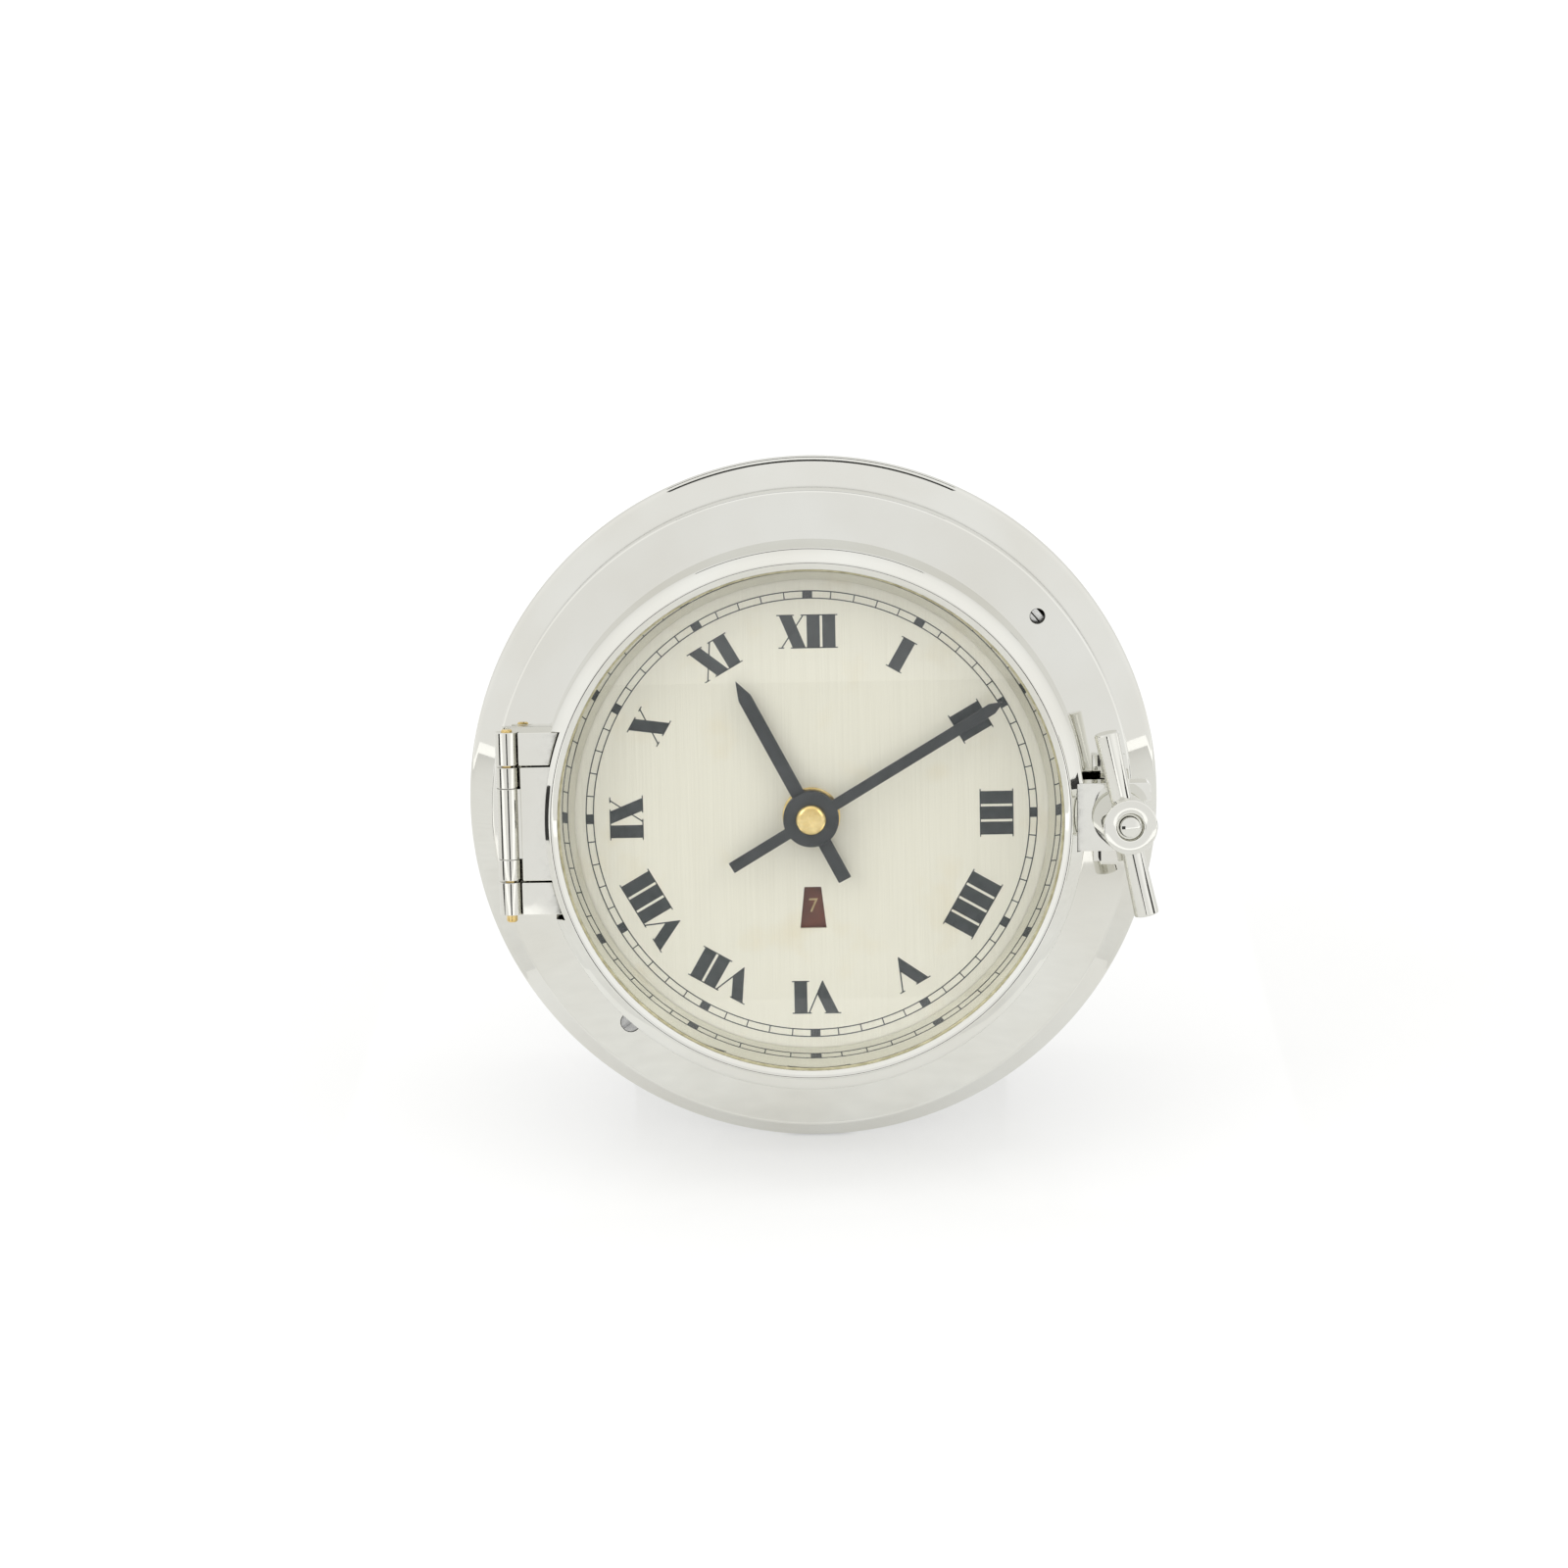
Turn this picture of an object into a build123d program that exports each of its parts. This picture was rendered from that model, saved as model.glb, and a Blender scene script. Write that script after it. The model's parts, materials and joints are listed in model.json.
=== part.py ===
from build123d import *
import os
from math import cos, pi, radians, sin, tan

os.makedirs("parts", exist_ok=True)

# A porthole-shaped desk clock. Millimetres, +Z up, the dial facing -Y and leaning back.
# Heights called "w" are measured along the dial axis, towards the viewer, from the frame's door seat.

# Stance
lean = 10.0                   # degrees that the dial leans back
face_y = -22.29               # brings the model's box to the middle of the Y axis

# Frame: front body and flange
flange_r = 63.0
flange_back = -17.2
rim_thickness = 2.2
rim_fillet = 0.7
body_r = 57.7
face_slope = 6.5              # degrees that the front face falls outwards
seat_r = 49.2                 # edge of the flat door seat
front_wall = 3.5
ledge_r = 41.0                # opening behind the dial
collar_r = 44.0               # collar that carries the dial
pocket_floor = -1.2           # floor of the hinge and clamp recesses
recess_width = 5.8
groove_inner, groove_outer = 46.9, 48.3
cove_start = -8.4             # foot of the frame's upright side, where the cove begins

# Dial
dial_r = 43.8
dial_front = 3.2
dial_thickness = 0.8
dial_back = dial_front - dial_thickness

# Door
ring_back = 0.2
ring_base_r = 49.2
ring_front_r = 48.5
ring_crest = 12.2
bore_r = 46.3
opening_r = 44.7
lip_back = 11.4
gasket_thickness = 0.4
glass_thickness = 1.1
glass_front = lip_back - gasket_thickness
glass_back = glass_front - glass_thickness
glass_r = 46.2
door_notch_r = 46.95          # flat of the ring behind the hinge
retainer_back, retainer_front = 7.0, 9.1
rehaut_gap = 0.25             # between the rehaut's foot and the dial

# Hinge
hinge_x = -53.7
hinge_w = 6.5
barrel_r = 2.1
leaf_half = 1.9               # half thickness of the leaves
leaf_edge_r = 47.35
hinge_half = 16.4             # half height over the fixed knuckles
door_leaf_half = 10.2
fixed_inner = 10.5
sleeve_half = 6.35
pin_r = 1.0
running = 0.05                # radial clearance of a running fit
pin_tail = 1.4
hinge_recess_x = hinge_x + 1.4
leaf_left = -51.6             # outer edge of the fixed leaves
door_leaf_left = -51.4

# Clamp
lug_left = 46.9
lug_right = 60.0
lug_half = 6.05
lug_back = 5.9
lug_front = 10.9
slot_width = 5.5
slot_end = 51.2
clamp_x = 54.2
clamp_tilt = 6.5
washer_thickness = 0.8
boss_r = 4.8
boss_height = 10.6
arm_height = 6.6
arm_reach = 16.5
arm_turn = 12.2               # degrees that the arms stand anticlockwise of upright
spindle_r = 1.75
spindle_foot = -9.4           # spindle's end, measured from the lug's front
countersink_r = 2.4
countersink_depth = 1.2
arm_root_r, arm_end_r = 1.9, 2.2
bracket_x = 53.3
bracket_half = 9.6            # half height over the lower ears
bracket_base_top = 0.3
bracket_ear_width = 3.6
bracket_ear_top = 4.6
ear_gap_half = 2.75

# Case
drum_r = 54.4
drum_wall = 1.5
drum_back = -58.0
drum_lip = 6.4
cover_thickness = 1.5
cover_screw_ring = 50.2       # circle that the cover screws stand on
cover_head_r, cover_head = 2.4, 1.5
small_shank_r = 1.25          # frame screw and cover screws
slot_width_small = 0.6

# Movement
front_plate_r = 45.0
front_plate_back = -5.5
back_plate_r = 30.0
back_plate_front = -20.0
back_plate_back = -21.5
pillar_spot = 17.0
pillar_r = 2.0
plate_screw_ring = 42.5       # circle that the plate screws stand on
thread_r, thread_head_r = 1.0, 1.9
post_r = 0.6
bush_r = 2.0
date_guide_r = 11.5           # rim that the date ring runs on
date_guide_bore_r = 10.2
date_ring_back, date_ring_front = 1.4, 1.8
arbor_end = -27.0
arbor_r = 0.9
pipe_r = 1.7
module_fast = 0.22            # cannon pinion and minute wheel
cannon_teeth, wheel_teeth = 12, 36
pinion_teeth, hour_teeth = 10, 40
centre_distance = module_fast * (cannon_teeth + wheel_teeth) / 2
module_slow = 2 * centre_distance / (pinion_teeth + hour_teeth)

# Hands, in degrees clockwise from XII
minute_angle = 59.2
hour_angle = 332.4
hub_r = 4.95
hour_hand_w = dial_front + 3.0
minute_hand_w = dial_front + 4.4
hand_thickness = 0.4

# Open hole and screw in the frame's face: distance from the axis, angle and radius
hole_r, hole_angle, hole_radius = 53.5, 40.3, 1.4
screw_spot_r, screw_angle, screw_head_r = 50.6, 228.5, 1.85
screw_seat = -1.6             # underside of the frame screw's head
screw_head = 1.3
screw_shank = 4.9

# Rear feet
foot_inner, foot_outer = 20.0, 36.0
foot_low_w, foot_high_w = -56.0, -44.0
pad_height = 1.5
pad_r = 3.5
pad_x = 31.2
foot_screw_x = 24.5
foot_screw_r, foot_head_r = 1.5, 2.8
foot_head_low = 2.5
foot_head = 2.0

# The dial plane: origin on the dial axis, x to the right, y up the dial, z towards the viewer
front = Vector(0, -cos(radians(lean)), sin(radians(lean)))
dial_height = (
    (flange_r - rim_fillet) * cos(radians(lean))
    - (flange_back + rim_fillet) * sin(radians(lean))
    + rim_fillet
)
FACE = Plane(origin=(0, face_y, dial_height), x_dir=(1, 0, 0), z_dir=front)
DIAL_AXIS = Axis(FACE.origin, front)
# A half plane through the dial axis: x is the radius, y is the height w
SECTION = Plane(origin=FACE.origin, x_dir=(1, 0, 0), z_dir=FACE.y_dir * -1)


def level(w):
    """The plane parallel to the dial at height w."""
    return FACE.offset(w)


def at(x, y, w):
    """A point given in the dial's own frame."""
    return FACE.from_local_coords(Vector(x, y, w))


def cylinder_plane(x, y, w, along):
    """A plane at a point of the dial's frame, its normal along a world direction."""
    return Plane(origin=at(x, y, w), z_dir=along)


def plain_ring(outer, inner, low, high):
    """A ring about the dial axis, or a disc where inner is 0."""
    with BuildPart() as ring:
        with BuildSketch(level(low)):
            Circle(outer)
            if inner:
                Circle(inner, mode=Mode.SUBTRACT)
        extrude(amount=high - low)
    return ring


def cut_face_w(r):
    """Height of the frame's sloping front face at radius r."""
    return -(r - seat_r) * tan(radians(face_slope))


def gear_outline(teeth, module, phase):
    """A gear's closed outline: straight-sided teeth with backlash, first tooth at phase degrees."""
    root = module * (teeth / 2 - 1.25)
    tip = module * (teeth / 2 + 0.75)
    pitch = 2 * pi / teeth
    corners = []
    for i in range(teeth):
        middle = radians(phase) + i * pitch
        for radius, offset in ((root, -0.2), (tip, -0.1), (tip, 0.1), (root, 0.2)):
            angle = middle + offset * pitch
            corners.append((radius * cos(angle), radius * sin(angle)))
    Polyline(*corners, close=True)


# ---------------------------------------------------------------- frame

with BuildPart() as frame:
    with BuildSketch(SECTION):
        with BuildLine():
            edge_w = cut_face_w(body_r - 0.4)
            rim_front = flange_back + rim_thickness
            rim_bulge = rim_fillet * (1 - cos(radians(45)))
            Polyline(
                (ledge_r, -front_wall),
                (ledge_r, dial_back),
                (collar_r, dial_back),
                (collar_r, 0),
                (seat_r, 0),
                (body_r - 0.4, edge_w),
                (body_r, edge_w - 0.4),
                (body_r, cove_start),
            )
            cove = ThreePointArc(
                (body_r, cove_start),
                (body_r + 0.25, cove_start - 0.7),
                (body_r + 0.9, cove_start - 1.1),
            )
            slope = Line(cove @ 1, (flange_r - 1.0, rim_front + 0.3))
            rim = Polyline(
                slope @ 1,
                (flange_r, rim_front - 0.5),
                (flange_r, flange_back + rim_fillet),
            )
            ThreePointArc(
                rim @ 1,
                (flange_r - rim_bulge, flange_back + rim_bulge),
                (flange_r - rim_fillet, flange_back),
            )
            Polyline(
                (flange_r - rim_fillet, flange_back),
                (drum_r, flange_back),
                (drum_r, -front_wall),
                (ledge_r, -front_wall),
            )
        make_face()
    revolve(axis=DIAL_AXIS)
    # Groove for the door seal
    with BuildSketch(level(pocket_floor)):
        Circle(groove_outer)
        Circle(groove_inner, mode=Mode.SUBTRACT)
    extrude(amount=2, mode=Mode.SUBTRACT)
    # Recesses for the hinge and the clamp bracket
    with BuildSketch(level(pocket_floor)):
        with Locations((hinge_recess_x, 0)):
            Rectangle(recess_width, 2 * hinge_half)
        with Locations((bracket_x, 0)):
            Rectangle(recess_width, 2 * bracket_half)
    extrude(amount=4, mode=Mode.SUBTRACT)
    # The open hole and the seat of the frame screw
    with BuildSketch(level(-front_wall)):
        with PolarLocations(hole_r, 1, start_angle=hole_angle):
            Circle(hole_radius)
        with PolarLocations(screw_spot_r, 1, start_angle=screw_angle):
            Circle(small_shank_r)
    extrude(amount=6, mode=Mode.SUBTRACT)
    with BuildSketch(level(screw_seat)):
        with PolarLocations(screw_spot_r, 1, start_angle=screw_angle):
            Circle(screw_head_r)
    extrude(amount=4, mode=Mode.SUBTRACT)
    # Tapped holes for the movement's plate screws
    with BuildSketch(level(-front_wall)):
        with PolarLocations(plate_screw_ring, 4, start_angle=45):
            Circle(thread_r)
    extrude(amount=3, mode=Mode.SUBTRACT)

with BuildPart() as frame_screw:
    with BuildSketch(level(screw_seat - screw_shank)):
        with PolarLocations(screw_spot_r, 1, start_angle=screw_angle):
            Circle(small_shank_r)
    extrude(amount=screw_shank)
    with BuildSketch(level(screw_seat)):
        with PolarLocations(screw_spot_r, 1, start_angle=screw_angle):
            Circle(screw_head_r)
    extrude(amount=screw_head)
    with BuildSketch(level(screw_seat + 0.85)):
        with PolarLocations(screw_spot_r, 1, start_angle=screw_angle):
            Rectangle(slot_width_small, 6, rotation=35)
    extrude(amount=2, mode=Mode.SUBTRACT)

door_seal = plain_ring(groove_outer, groove_inner, pocket_floor, 0.05)

# ---------------------------------------------------------------- hinge

with BuildPart() as hinge_bracket:
    with BuildSketch(level(pocket_floor)):
        with Locations((hinge_recess_x, 0)):
            Rectangle(recess_width, 2 * hinge_half)
    extrude(amount=1.3)
    # Two end blocks whose inner edge follows the door ring
    block_mid = (hinge_half + fixed_inner) / 2
    with BuildSketch(level(pocket_floor)):
        with Locations((hinge_x + 0.2, block_mid), (hinge_x + 0.2, -block_mid)):
            Rectangle(3.0, hinge_half - fixed_inner, align=(Align.MIN, Align.CENTER))
    extrude(amount=hinge_w - pocket_floor)
    with BuildSketch(level(0.3)):
        with Locations((leaf_left, block_mid), (leaf_left, -block_mid)):
            Rectangle(12, hinge_half - fixed_inner, align=(Align.MIN, Align.CENTER))
        Circle(leaf_edge_r, mode=Mode.SUBTRACT)
    extrude(amount=hinge_w + leaf_half - 0.3)
    for side in (1, -1):
        low = fixed_inner if side > 0 else -hinge_half
        with BuildSketch(cylinder_plane(hinge_x, low, hinge_w, FACE.y_dir)):
            Circle(barrel_r)
        extrude(amount=hinge_half - fixed_inner)
    with BuildSketch(cylinder_plane(hinge_x, -hinge_half, hinge_w, FACE.y_dir)):
        Circle(pin_r)
    extrude(amount=2 * hinge_half, mode=Mode.SUBTRACT)

with BuildPart() as hinge_pin:
    with BuildSketch(cylinder_plane(hinge_x, -hinge_half - pin_tail, hinge_w, FACE.y_dir)):
        Circle(pin_r)
    extrude(amount=2 * hinge_half + pin_tail + 0.4)
    chamfer(hinge_pin.edges().filter_by(GeomType.CIRCLE), 0.2)

with BuildPart() as door_hinge_leaf:
    with BuildSketch(level(hinge_w - leaf_half)):
        with Locations((door_leaf_left, 0)):
            Rectangle(12, 2 * door_leaf_half, align=(Align.MIN, Align.CENTER))
        Circle(door_notch_r, mode=Mode.SUBTRACT)
    extrude(amount=2 * leaf_half)
    with BuildSketch(level(hinge_w - 1.2)):
        with Locations((hinge_x, 0)):
            Rectangle(3.0, 2 * sleeve_half, align=(Align.MIN, Align.CENTER))
    extrude(amount=2.4)
    with BuildSketch(cylinder_plane(hinge_x, -sleeve_half, hinge_w, FACE.y_dir)):
        Circle(barrel_r)
    extrude(amount=2 * sleeve_half)
    with BuildSketch(cylinder_plane(hinge_x, -sleeve_half, hinge_w, FACE.y_dir)):
        Circle(pin_r + running)
    extrude(amount=2 * sleeve_half, mode=Mode.SUBTRACT)

with BuildPart() as hinge_bushes:
    for low in (sleeve_half, -door_leaf_half):
        with BuildSketch(cylinder_plane(hinge_x, low, hinge_w, FACE.y_dir)):
            Circle(barrel_r - 0.04)
            Circle(pin_r + running, mode=Mode.SUBTRACT)
        extrude(amount=door_leaf_half - sleeve_half)

# ---------------------------------------------------------------- door

with BuildPart() as door_ring:
    with BuildSketch(SECTION):
        with BuildLine():
            wall = Polyline(
                (opening_r, lip_back),
                (bore_r, lip_back),
                (bore_r, ring_back),
                (ring_base_r, ring_back),
                (ring_front_r, 9.5),
            )
            shoulder = ThreePointArc(wall @ 1, (48.2, 10.4), (47.5, 11.0))
            crown = Line(shoulder @ 1, (46.3, 12.0))
            crest = ThreePointArc(crown @ 1, (45.9, ring_crest), (45.5, 12.1))
            Polyline(crest @ 1, (opening_r, 11.7), (opening_r, lip_back))
        make_face()
    revolve(axis=DIAL_AXIS)
    # Flat behind the hinge leaves
    with BuildSketch(level(-1)):
        with Locations((-60, 0)):
            Rectangle(40, 2 * hinge_half + 0.8, align=(Align.MIN, Align.CENTER))
        Circle(door_notch_r, mode=Mode.SUBTRACT)
    extrude(amount=15, mode=Mode.SUBTRACT)
    # Seat of the lug
    with BuildSketch(level(lug_back)):
        with Locations((lug_left, 0)):
            Rectangle(10, 2 * lug_half, align=(Align.MIN, Align.CENTER))
    extrude(amount=10, mode=Mode.SUBTRACT)

door_glass = plain_ring(glass_r, 0, glass_back, glass_front)
glass_gasket = plain_ring(glass_r, opening_r - 0.35, glass_front, lip_back)
glass_retainer = plain_ring(bore_r, 45.4, retainer_back, retainer_front)

with BuildPart() as rehaut:
    with BuildSketch(SECTION):
        with BuildLine():
            Polyline(
                (42.2, dial_front + rehaut_gap),
                (42.9, dial_front + rehaut_gap),
                (45.0, retainer_front),
                (glass_r, retainer_front),
                (glass_r, glass_back),
                (44.5, glass_back),
                close=True,
            )
        make_face()
    revolve(axis=DIAL_AXIS)

with BuildPart() as door_lug:
    with BuildSketch(level(lug_back)) as lug_plan:
        with Locations((lug_left, 0)):
            Rectangle(lug_right - lug_left, 2 * lug_half, align=(Align.MIN, Align.CENTER))
        with Locations((slot_end, 0)):
            Rectangle(12, slot_width, align=(Align.MIN, Align.CENTER), mode=Mode.SUBTRACT)
        fillet(lug_plan.vertices().group_by(Axis.X)[-1], 0.6)
    extrude(amount=lug_front - lug_back)
    chamfer(door_lug.faces().sort_by(DIAL_AXIS)[-1].edges(), 0.15)

# ---------------------------------------------------------------- clamp

# The clamp's own plane: origin where its axis meets the lug's front, z along the axis
clamp_axis = front * cos(radians(clamp_tilt)) + Vector(1, 0, 0) * sin(radians(clamp_tilt))
CLAMP = Plane(origin=at(clamp_x, 0, lug_front), x_dir=FACE.y_dir, z_dir=clamp_axis)
boss_low = 1.45               # the tilted washer's low edge just clears the lug

with BuildPart() as clamp_bracket:
    # A base let into the frame, and two ears with the spindle standing free between them
    with BuildSketch(level(pocket_floor)):
        with Locations((bracket_x, 0)):
            Rectangle(recess_width, 2 * bracket_half)
    extrude(amount=bracket_base_top - pocket_floor)
    ear = (bracket_half + ear_gap_half) / 2
    with BuildSketch(level(pocket_floor)):
        with Locations((bracket_x, ear), (bracket_x, -ear)):
            Rectangle(bracket_ear_width, bracket_half - ear_gap_half)
    extrude(amount=bracket_ear_top - pocket_floor)
    fillet(clamp_bracket.edges().filter_by(Axis.X).group_by(DIAL_AXIS)[-1], 0.6)

with BuildPart() as clamp_washer:
    with BuildSketch(CLAMP.offset(boss_low - washer_thickness)):
        Circle(boss_r - 0.2)
        Circle(spindle_r + running, mode=Mode.SUBTRACT)
    extrude(amount=washer_thickness)

with BuildPart() as clamp_boss:
    with BuildSketch(CLAMP.offset(boss_low)):
        Circle(boss_r)
    extrude(amount=boss_height)
    chamfer(clamp_boss.edges().filter_by(GeomType.CIRCLE).sort_by(Axis(CLAMP.origin, clamp_axis)), 0.25)
    with BuildSketch(CLAMP.offset(boss_low)):
        Circle(spindle_r)
    extrude(amount=boss_height, mode=Mode.SUBTRACT)
    with BuildSketch(CLAMP.offset(boss_low + boss_height - countersink_depth)):
        Circle(countersink_r)
    extrude(amount=2, mode=Mode.SUBTRACT)

with BuildPart() as clamp_spindle:
    with BuildSketch(CLAMP.offset(spindle_foot)):
        Circle(spindle_r)
    extrude(amount=boss_low + boss_height - spindle_foot - 0.2)
    chamfer(clamp_spindle.edges().filter_by(GeomType.CIRCLE), 0.25)

arm_root = boss_r - 0.6       # the arms start inside the boss's side, and are cut back to it
with BuildPart() as clamp_arms:
    for turn in (arm_turn, arm_turn + 180):
        outward = CLAMP.x_dir.rotate(Axis((0, 0, 0), clamp_axis), turn)
        root_point = CLAMP.origin + clamp_axis * (boss_low + arm_height) + outward * arm_root
        arm_plane = Plane(origin=root_point, x_dir=clamp_axis, z_dir=outward)
        with BuildSketch(arm_plane):
            Circle(arm_root_r)
        with BuildSketch(arm_plane.offset(arm_reach - arm_root)):
            Circle(arm_end_r)
        loft()
    arm_ends = clamp_arms.edges().filter_by(GeomType.CIRCLE)
    chamfer(arm_ends.filter_by(lambda e: e.radius > 2.1), 0.2)
    # Each arm ends on the boss's round side
    with BuildSketch(CLAMP.offset(boss_low)):
        Circle(boss_r)
    extrude(amount=boss_height, mode=Mode.SUBTRACT)

# ---------------------------------------------------------------- case

foot_mid = (foot_low_w + foot_high_w) / 2
foot_y = at(0, -50, foot_mid).Y

with BuildPart() as case_drum:
    with BuildSketch(level(drum_back)):
        Circle(drum_r)
        Circle(drum_r - drum_wall, mode=Mode.SUBTRACT)
    extrude(amount=-front_wall - drum_back)
    with BuildSketch(Plane(origin=(0, foot_y, 0))):
        with Locations((foot_screw_x, 0), (-foot_screw_x, 0)):
            Circle(foot_screw_r)
    extrude(amount=30, mode=Mode.SUBTRACT)

# Rings fixed inside the drum's ends, for the frame screw and the cover screws
with BuildPart() as front_ring:
    with BuildSketch(level(-front_wall)):
        Circle(drum_r - drum_wall)
        Circle(drum_r - drum_lip, mode=Mode.SUBTRACT)
        with PolarLocations(screw_spot_r, 1, start_angle=screw_angle):
            Circle(small_shank_r, mode=Mode.SUBTRACT)
    extrude(amount=-drum_wall)

with BuildPart() as rear_ring:
    with BuildSketch(level(drum_back)):
        Circle(drum_r - drum_wall)
        Circle(drum_r - drum_lip, mode=Mode.SUBTRACT)
        with PolarLocations(cover_screw_ring, 4, start_angle=45):
            Circle(small_shank_r, mode=Mode.SUBTRACT)
    extrude(amount=drum_wall)

with BuildPart() as back_cover:
    with BuildSketch(level(drum_back - cover_thickness)):
        Circle(drum_r)
        with PolarLocations(cover_screw_ring, 4, start_angle=45):
            Circle(small_shank_r, mode=Mode.SUBTRACT)
    extrude(amount=cover_thickness)

with BuildPart() as back_cover_screws:
    with BuildSketch(level(drum_back - cover_thickness)):
        with PolarLocations(cover_screw_ring, 4, start_angle=45):
            Circle(small_shank_r)
    extrude(amount=cover_thickness + 2.5)
    with BuildSketch(level(drum_back - cover_thickness)):
        with PolarLocations(cover_screw_ring, 4, start_angle=45):
            Circle(cover_head_r)
    extrude(amount=-cover_head)
    with BuildSketch(level(drum_back - cover_thickness - cover_head)):
        with PolarLocations(cover_screw_ring, 4, start_angle=45):
            Rectangle(slot_width_small, 6)
    extrude(amount=0.7, mode=Mode.SUBTRACT)

with BuildPart() as rear_feet:
    with BuildSketch(level(foot_low_w)):
        for side in (1, -1):
            with Locations((side * (foot_inner + foot_outer) / 2, -40)):
                Rectangle(foot_outer - foot_inner, 40, align=(Align.CENTER, Align.MAX))
        Circle(drum_r, mode=Mode.SUBTRACT)
    extrude(amount=foot_high_w - foot_low_w)
    split(bisect_by=Plane.XY.offset(pad_height), keep=Keep.TOP)
    with BuildSketch(Plane(origin=(0, foot_y, 0))):
        with Locations((foot_screw_x, 0), (-foot_screw_x, 0)):
            Circle(foot_screw_r)
    extrude(amount=30, mode=Mode.SUBTRACT)
    with BuildSketch(Plane(origin=(0, foot_y, 0))):
        with Locations((foot_screw_x, 0), (-foot_screw_x, 0)):
            Circle(foot_head_r)
    extrude(amount=foot_head_low + foot_head, mode=Mode.SUBTRACT)

with BuildPart() as foot_pads:
    with BuildSketch(Plane(origin=(0, foot_y, 0))):
        with Locations((pad_x, 0), (-pad_x, 0)):
            Circle(pad_r)
    extrude(amount=pad_height)

with BuildPart() as foot_screws:
    with BuildSketch(Plane(origin=(0, foot_y, foot_head_low))):
        with Locations((foot_screw_x, 0), (-foot_screw_x, 0)):
            Circle(foot_head_r)
    extrude(amount=foot_head)
    with BuildSketch(Plane(origin=(0, foot_y, foot_head_low + foot_head))):
        with Locations((foot_screw_x, 0), (-foot_screw_x, 0)):
            Circle(foot_screw_r)
    extrude(amount=8.5)

# ---------------------------------------------------------------- dial and hands

with BuildPart() as dial:
    with BuildSketch(level(dial_back)):
        Circle(dial_r)
        Circle(2.6, mode=Mode.SUBTRACT)
        with BuildLine():
            Polyline((-1.5, -12.9), (1.5, -12.9), (2.35, -20.4), (-2.35, -20.4), close=True)
        make_face(mode=Mode.SUBTRACT)
    extrude(amount=dial_thickness)

dial_washer = plain_ring(5.15, 2.2, dial_front, dial_front + 0.6)


def hand(angle, w, length, tail, width, bore, tip):
    """A straight hand with a pointed tip, a counterpoise tail and a round hub."""
    along = at(sin(radians(angle)), cos(radians(angle)), 0) - FACE.origin
    with BuildPart() as bar:
        with BuildSketch(Plane(origin=at(0, 0, w), x_dir=along, z_dir=front)):
            with BuildLine():
                Polyline(
                    (-tail, -width / 2),
                    (length - tip, -width / 2),
                    (length, 0),
                    (length - tip, width / 2),
                    (-tail, width / 2),
                    close=True,
                )
            make_face()
            Circle(hub_r)
            Circle(bore, mode=Mode.SUBTRACT)
        extrude(amount=hand_thickness)
    return bar


minute_hand = hand(minute_angle, minute_hand_w, 40.0, 16.6, 2.0, arbor_r, 2.4)
hour_hand = hand(hour_angle, hour_hand_w, 27.9, 12.6, 2.45, pipe_r, 3.4)

nut_low = minute_hand_w + hand_thickness
with BuildPart() as hand_nut:
    with BuildSketch(level(nut_low)):
        Circle(2.75)
    extrude(amount=1.3)
    fillet(hand_nut.faces().sort_by(DIAL_AXIS)[-1].edges(), 0.9)
    with BuildSketch(level(nut_low)):
        Circle(arbor_r)
    extrude(amount=0.8, mode=Mode.SUBTRACT)

# ---------------------------------------------------------------- movement

post_y = centre_distance

with BuildPart() as movement_front_plate:
    with BuildSketch(level(front_plate_back)):
        Circle(front_plate_r)
        Circle(bush_r, mode=Mode.SUBTRACT)
        with Locations((0, post_y)):
            Circle(post_r, mode=Mode.SUBTRACT)
        with PolarLocations(plate_screw_ring, 4, start_angle=45):
            Circle(thread_r, mode=Mode.SUBTRACT)
    extrude(amount=-front_wall - front_plate_back)

with BuildPart() as plate_screws:
    with BuildSketch(level(front_plate_back)):
        with PolarLocations(plate_screw_ring, 4, start_angle=45):
            Circle(thread_r)
    extrude(amount=4.5)
    with BuildSketch(level(front_plate_back)):
        with PolarLocations(plate_screw_ring, 4, start_angle=45):
            Circle(thread_head_r)
    extrude(amount=-1.3)

with BuildPart() as movement_pillars:
    with BuildSketch(level(back_plate_front)):
        with GridLocations(2 * pillar_spot, 2 * pillar_spot, 2, 2):
            Circle(pillar_r)
    extrude(amount=front_plate_back - back_plate_front)
    with BuildSketch(level(back_plate_front)):
        with GridLocations(2 * pillar_spot, 2 * pillar_spot, 2, 2):
            Circle(thread_r)
    extrude(amount=4, mode=Mode.SUBTRACT)

with BuildPart() as movement_back_plate:
    with BuildSketch(level(back_plate_back)):
        Circle(back_plate_r)
        Circle(arbor_r + running, mode=Mode.SUBTRACT)
        with GridLocations(2 * pillar_spot, 2 * pillar_spot, 2, 2):
            Circle(thread_r, mode=Mode.SUBTRACT)
    extrude(amount=back_plate_front - back_plate_back)

with BuildPart() as pillar_screws:
    with BuildSketch(level(back_plate_back)):
        with GridLocations(2 * pillar_spot, 2 * pillar_spot, 2, 2):
            Circle(thread_r)
    extrude(amount=5.0)
    with BuildSketch(level(back_plate_back)):
        with GridLocations(2 * pillar_spot, 2 * pillar_spot, 2, 2):
            Circle(thread_head_r)
    extrude(amount=-1.2)

with BuildPart() as centre_bush:
    with BuildSketch(level(front_plate_back - 0.4)):
        Circle(bush_r)
        Circle(arbor_r + running, mode=Mode.SUBTRACT)
    extrude(amount=3.0)

with BuildPart() as minute_wheel_post:
    with BuildSketch(level(front_plate_back)):
        with Locations((0, post_y)):
            Circle(post_r)
    extrude(amount=6.4)

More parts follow.
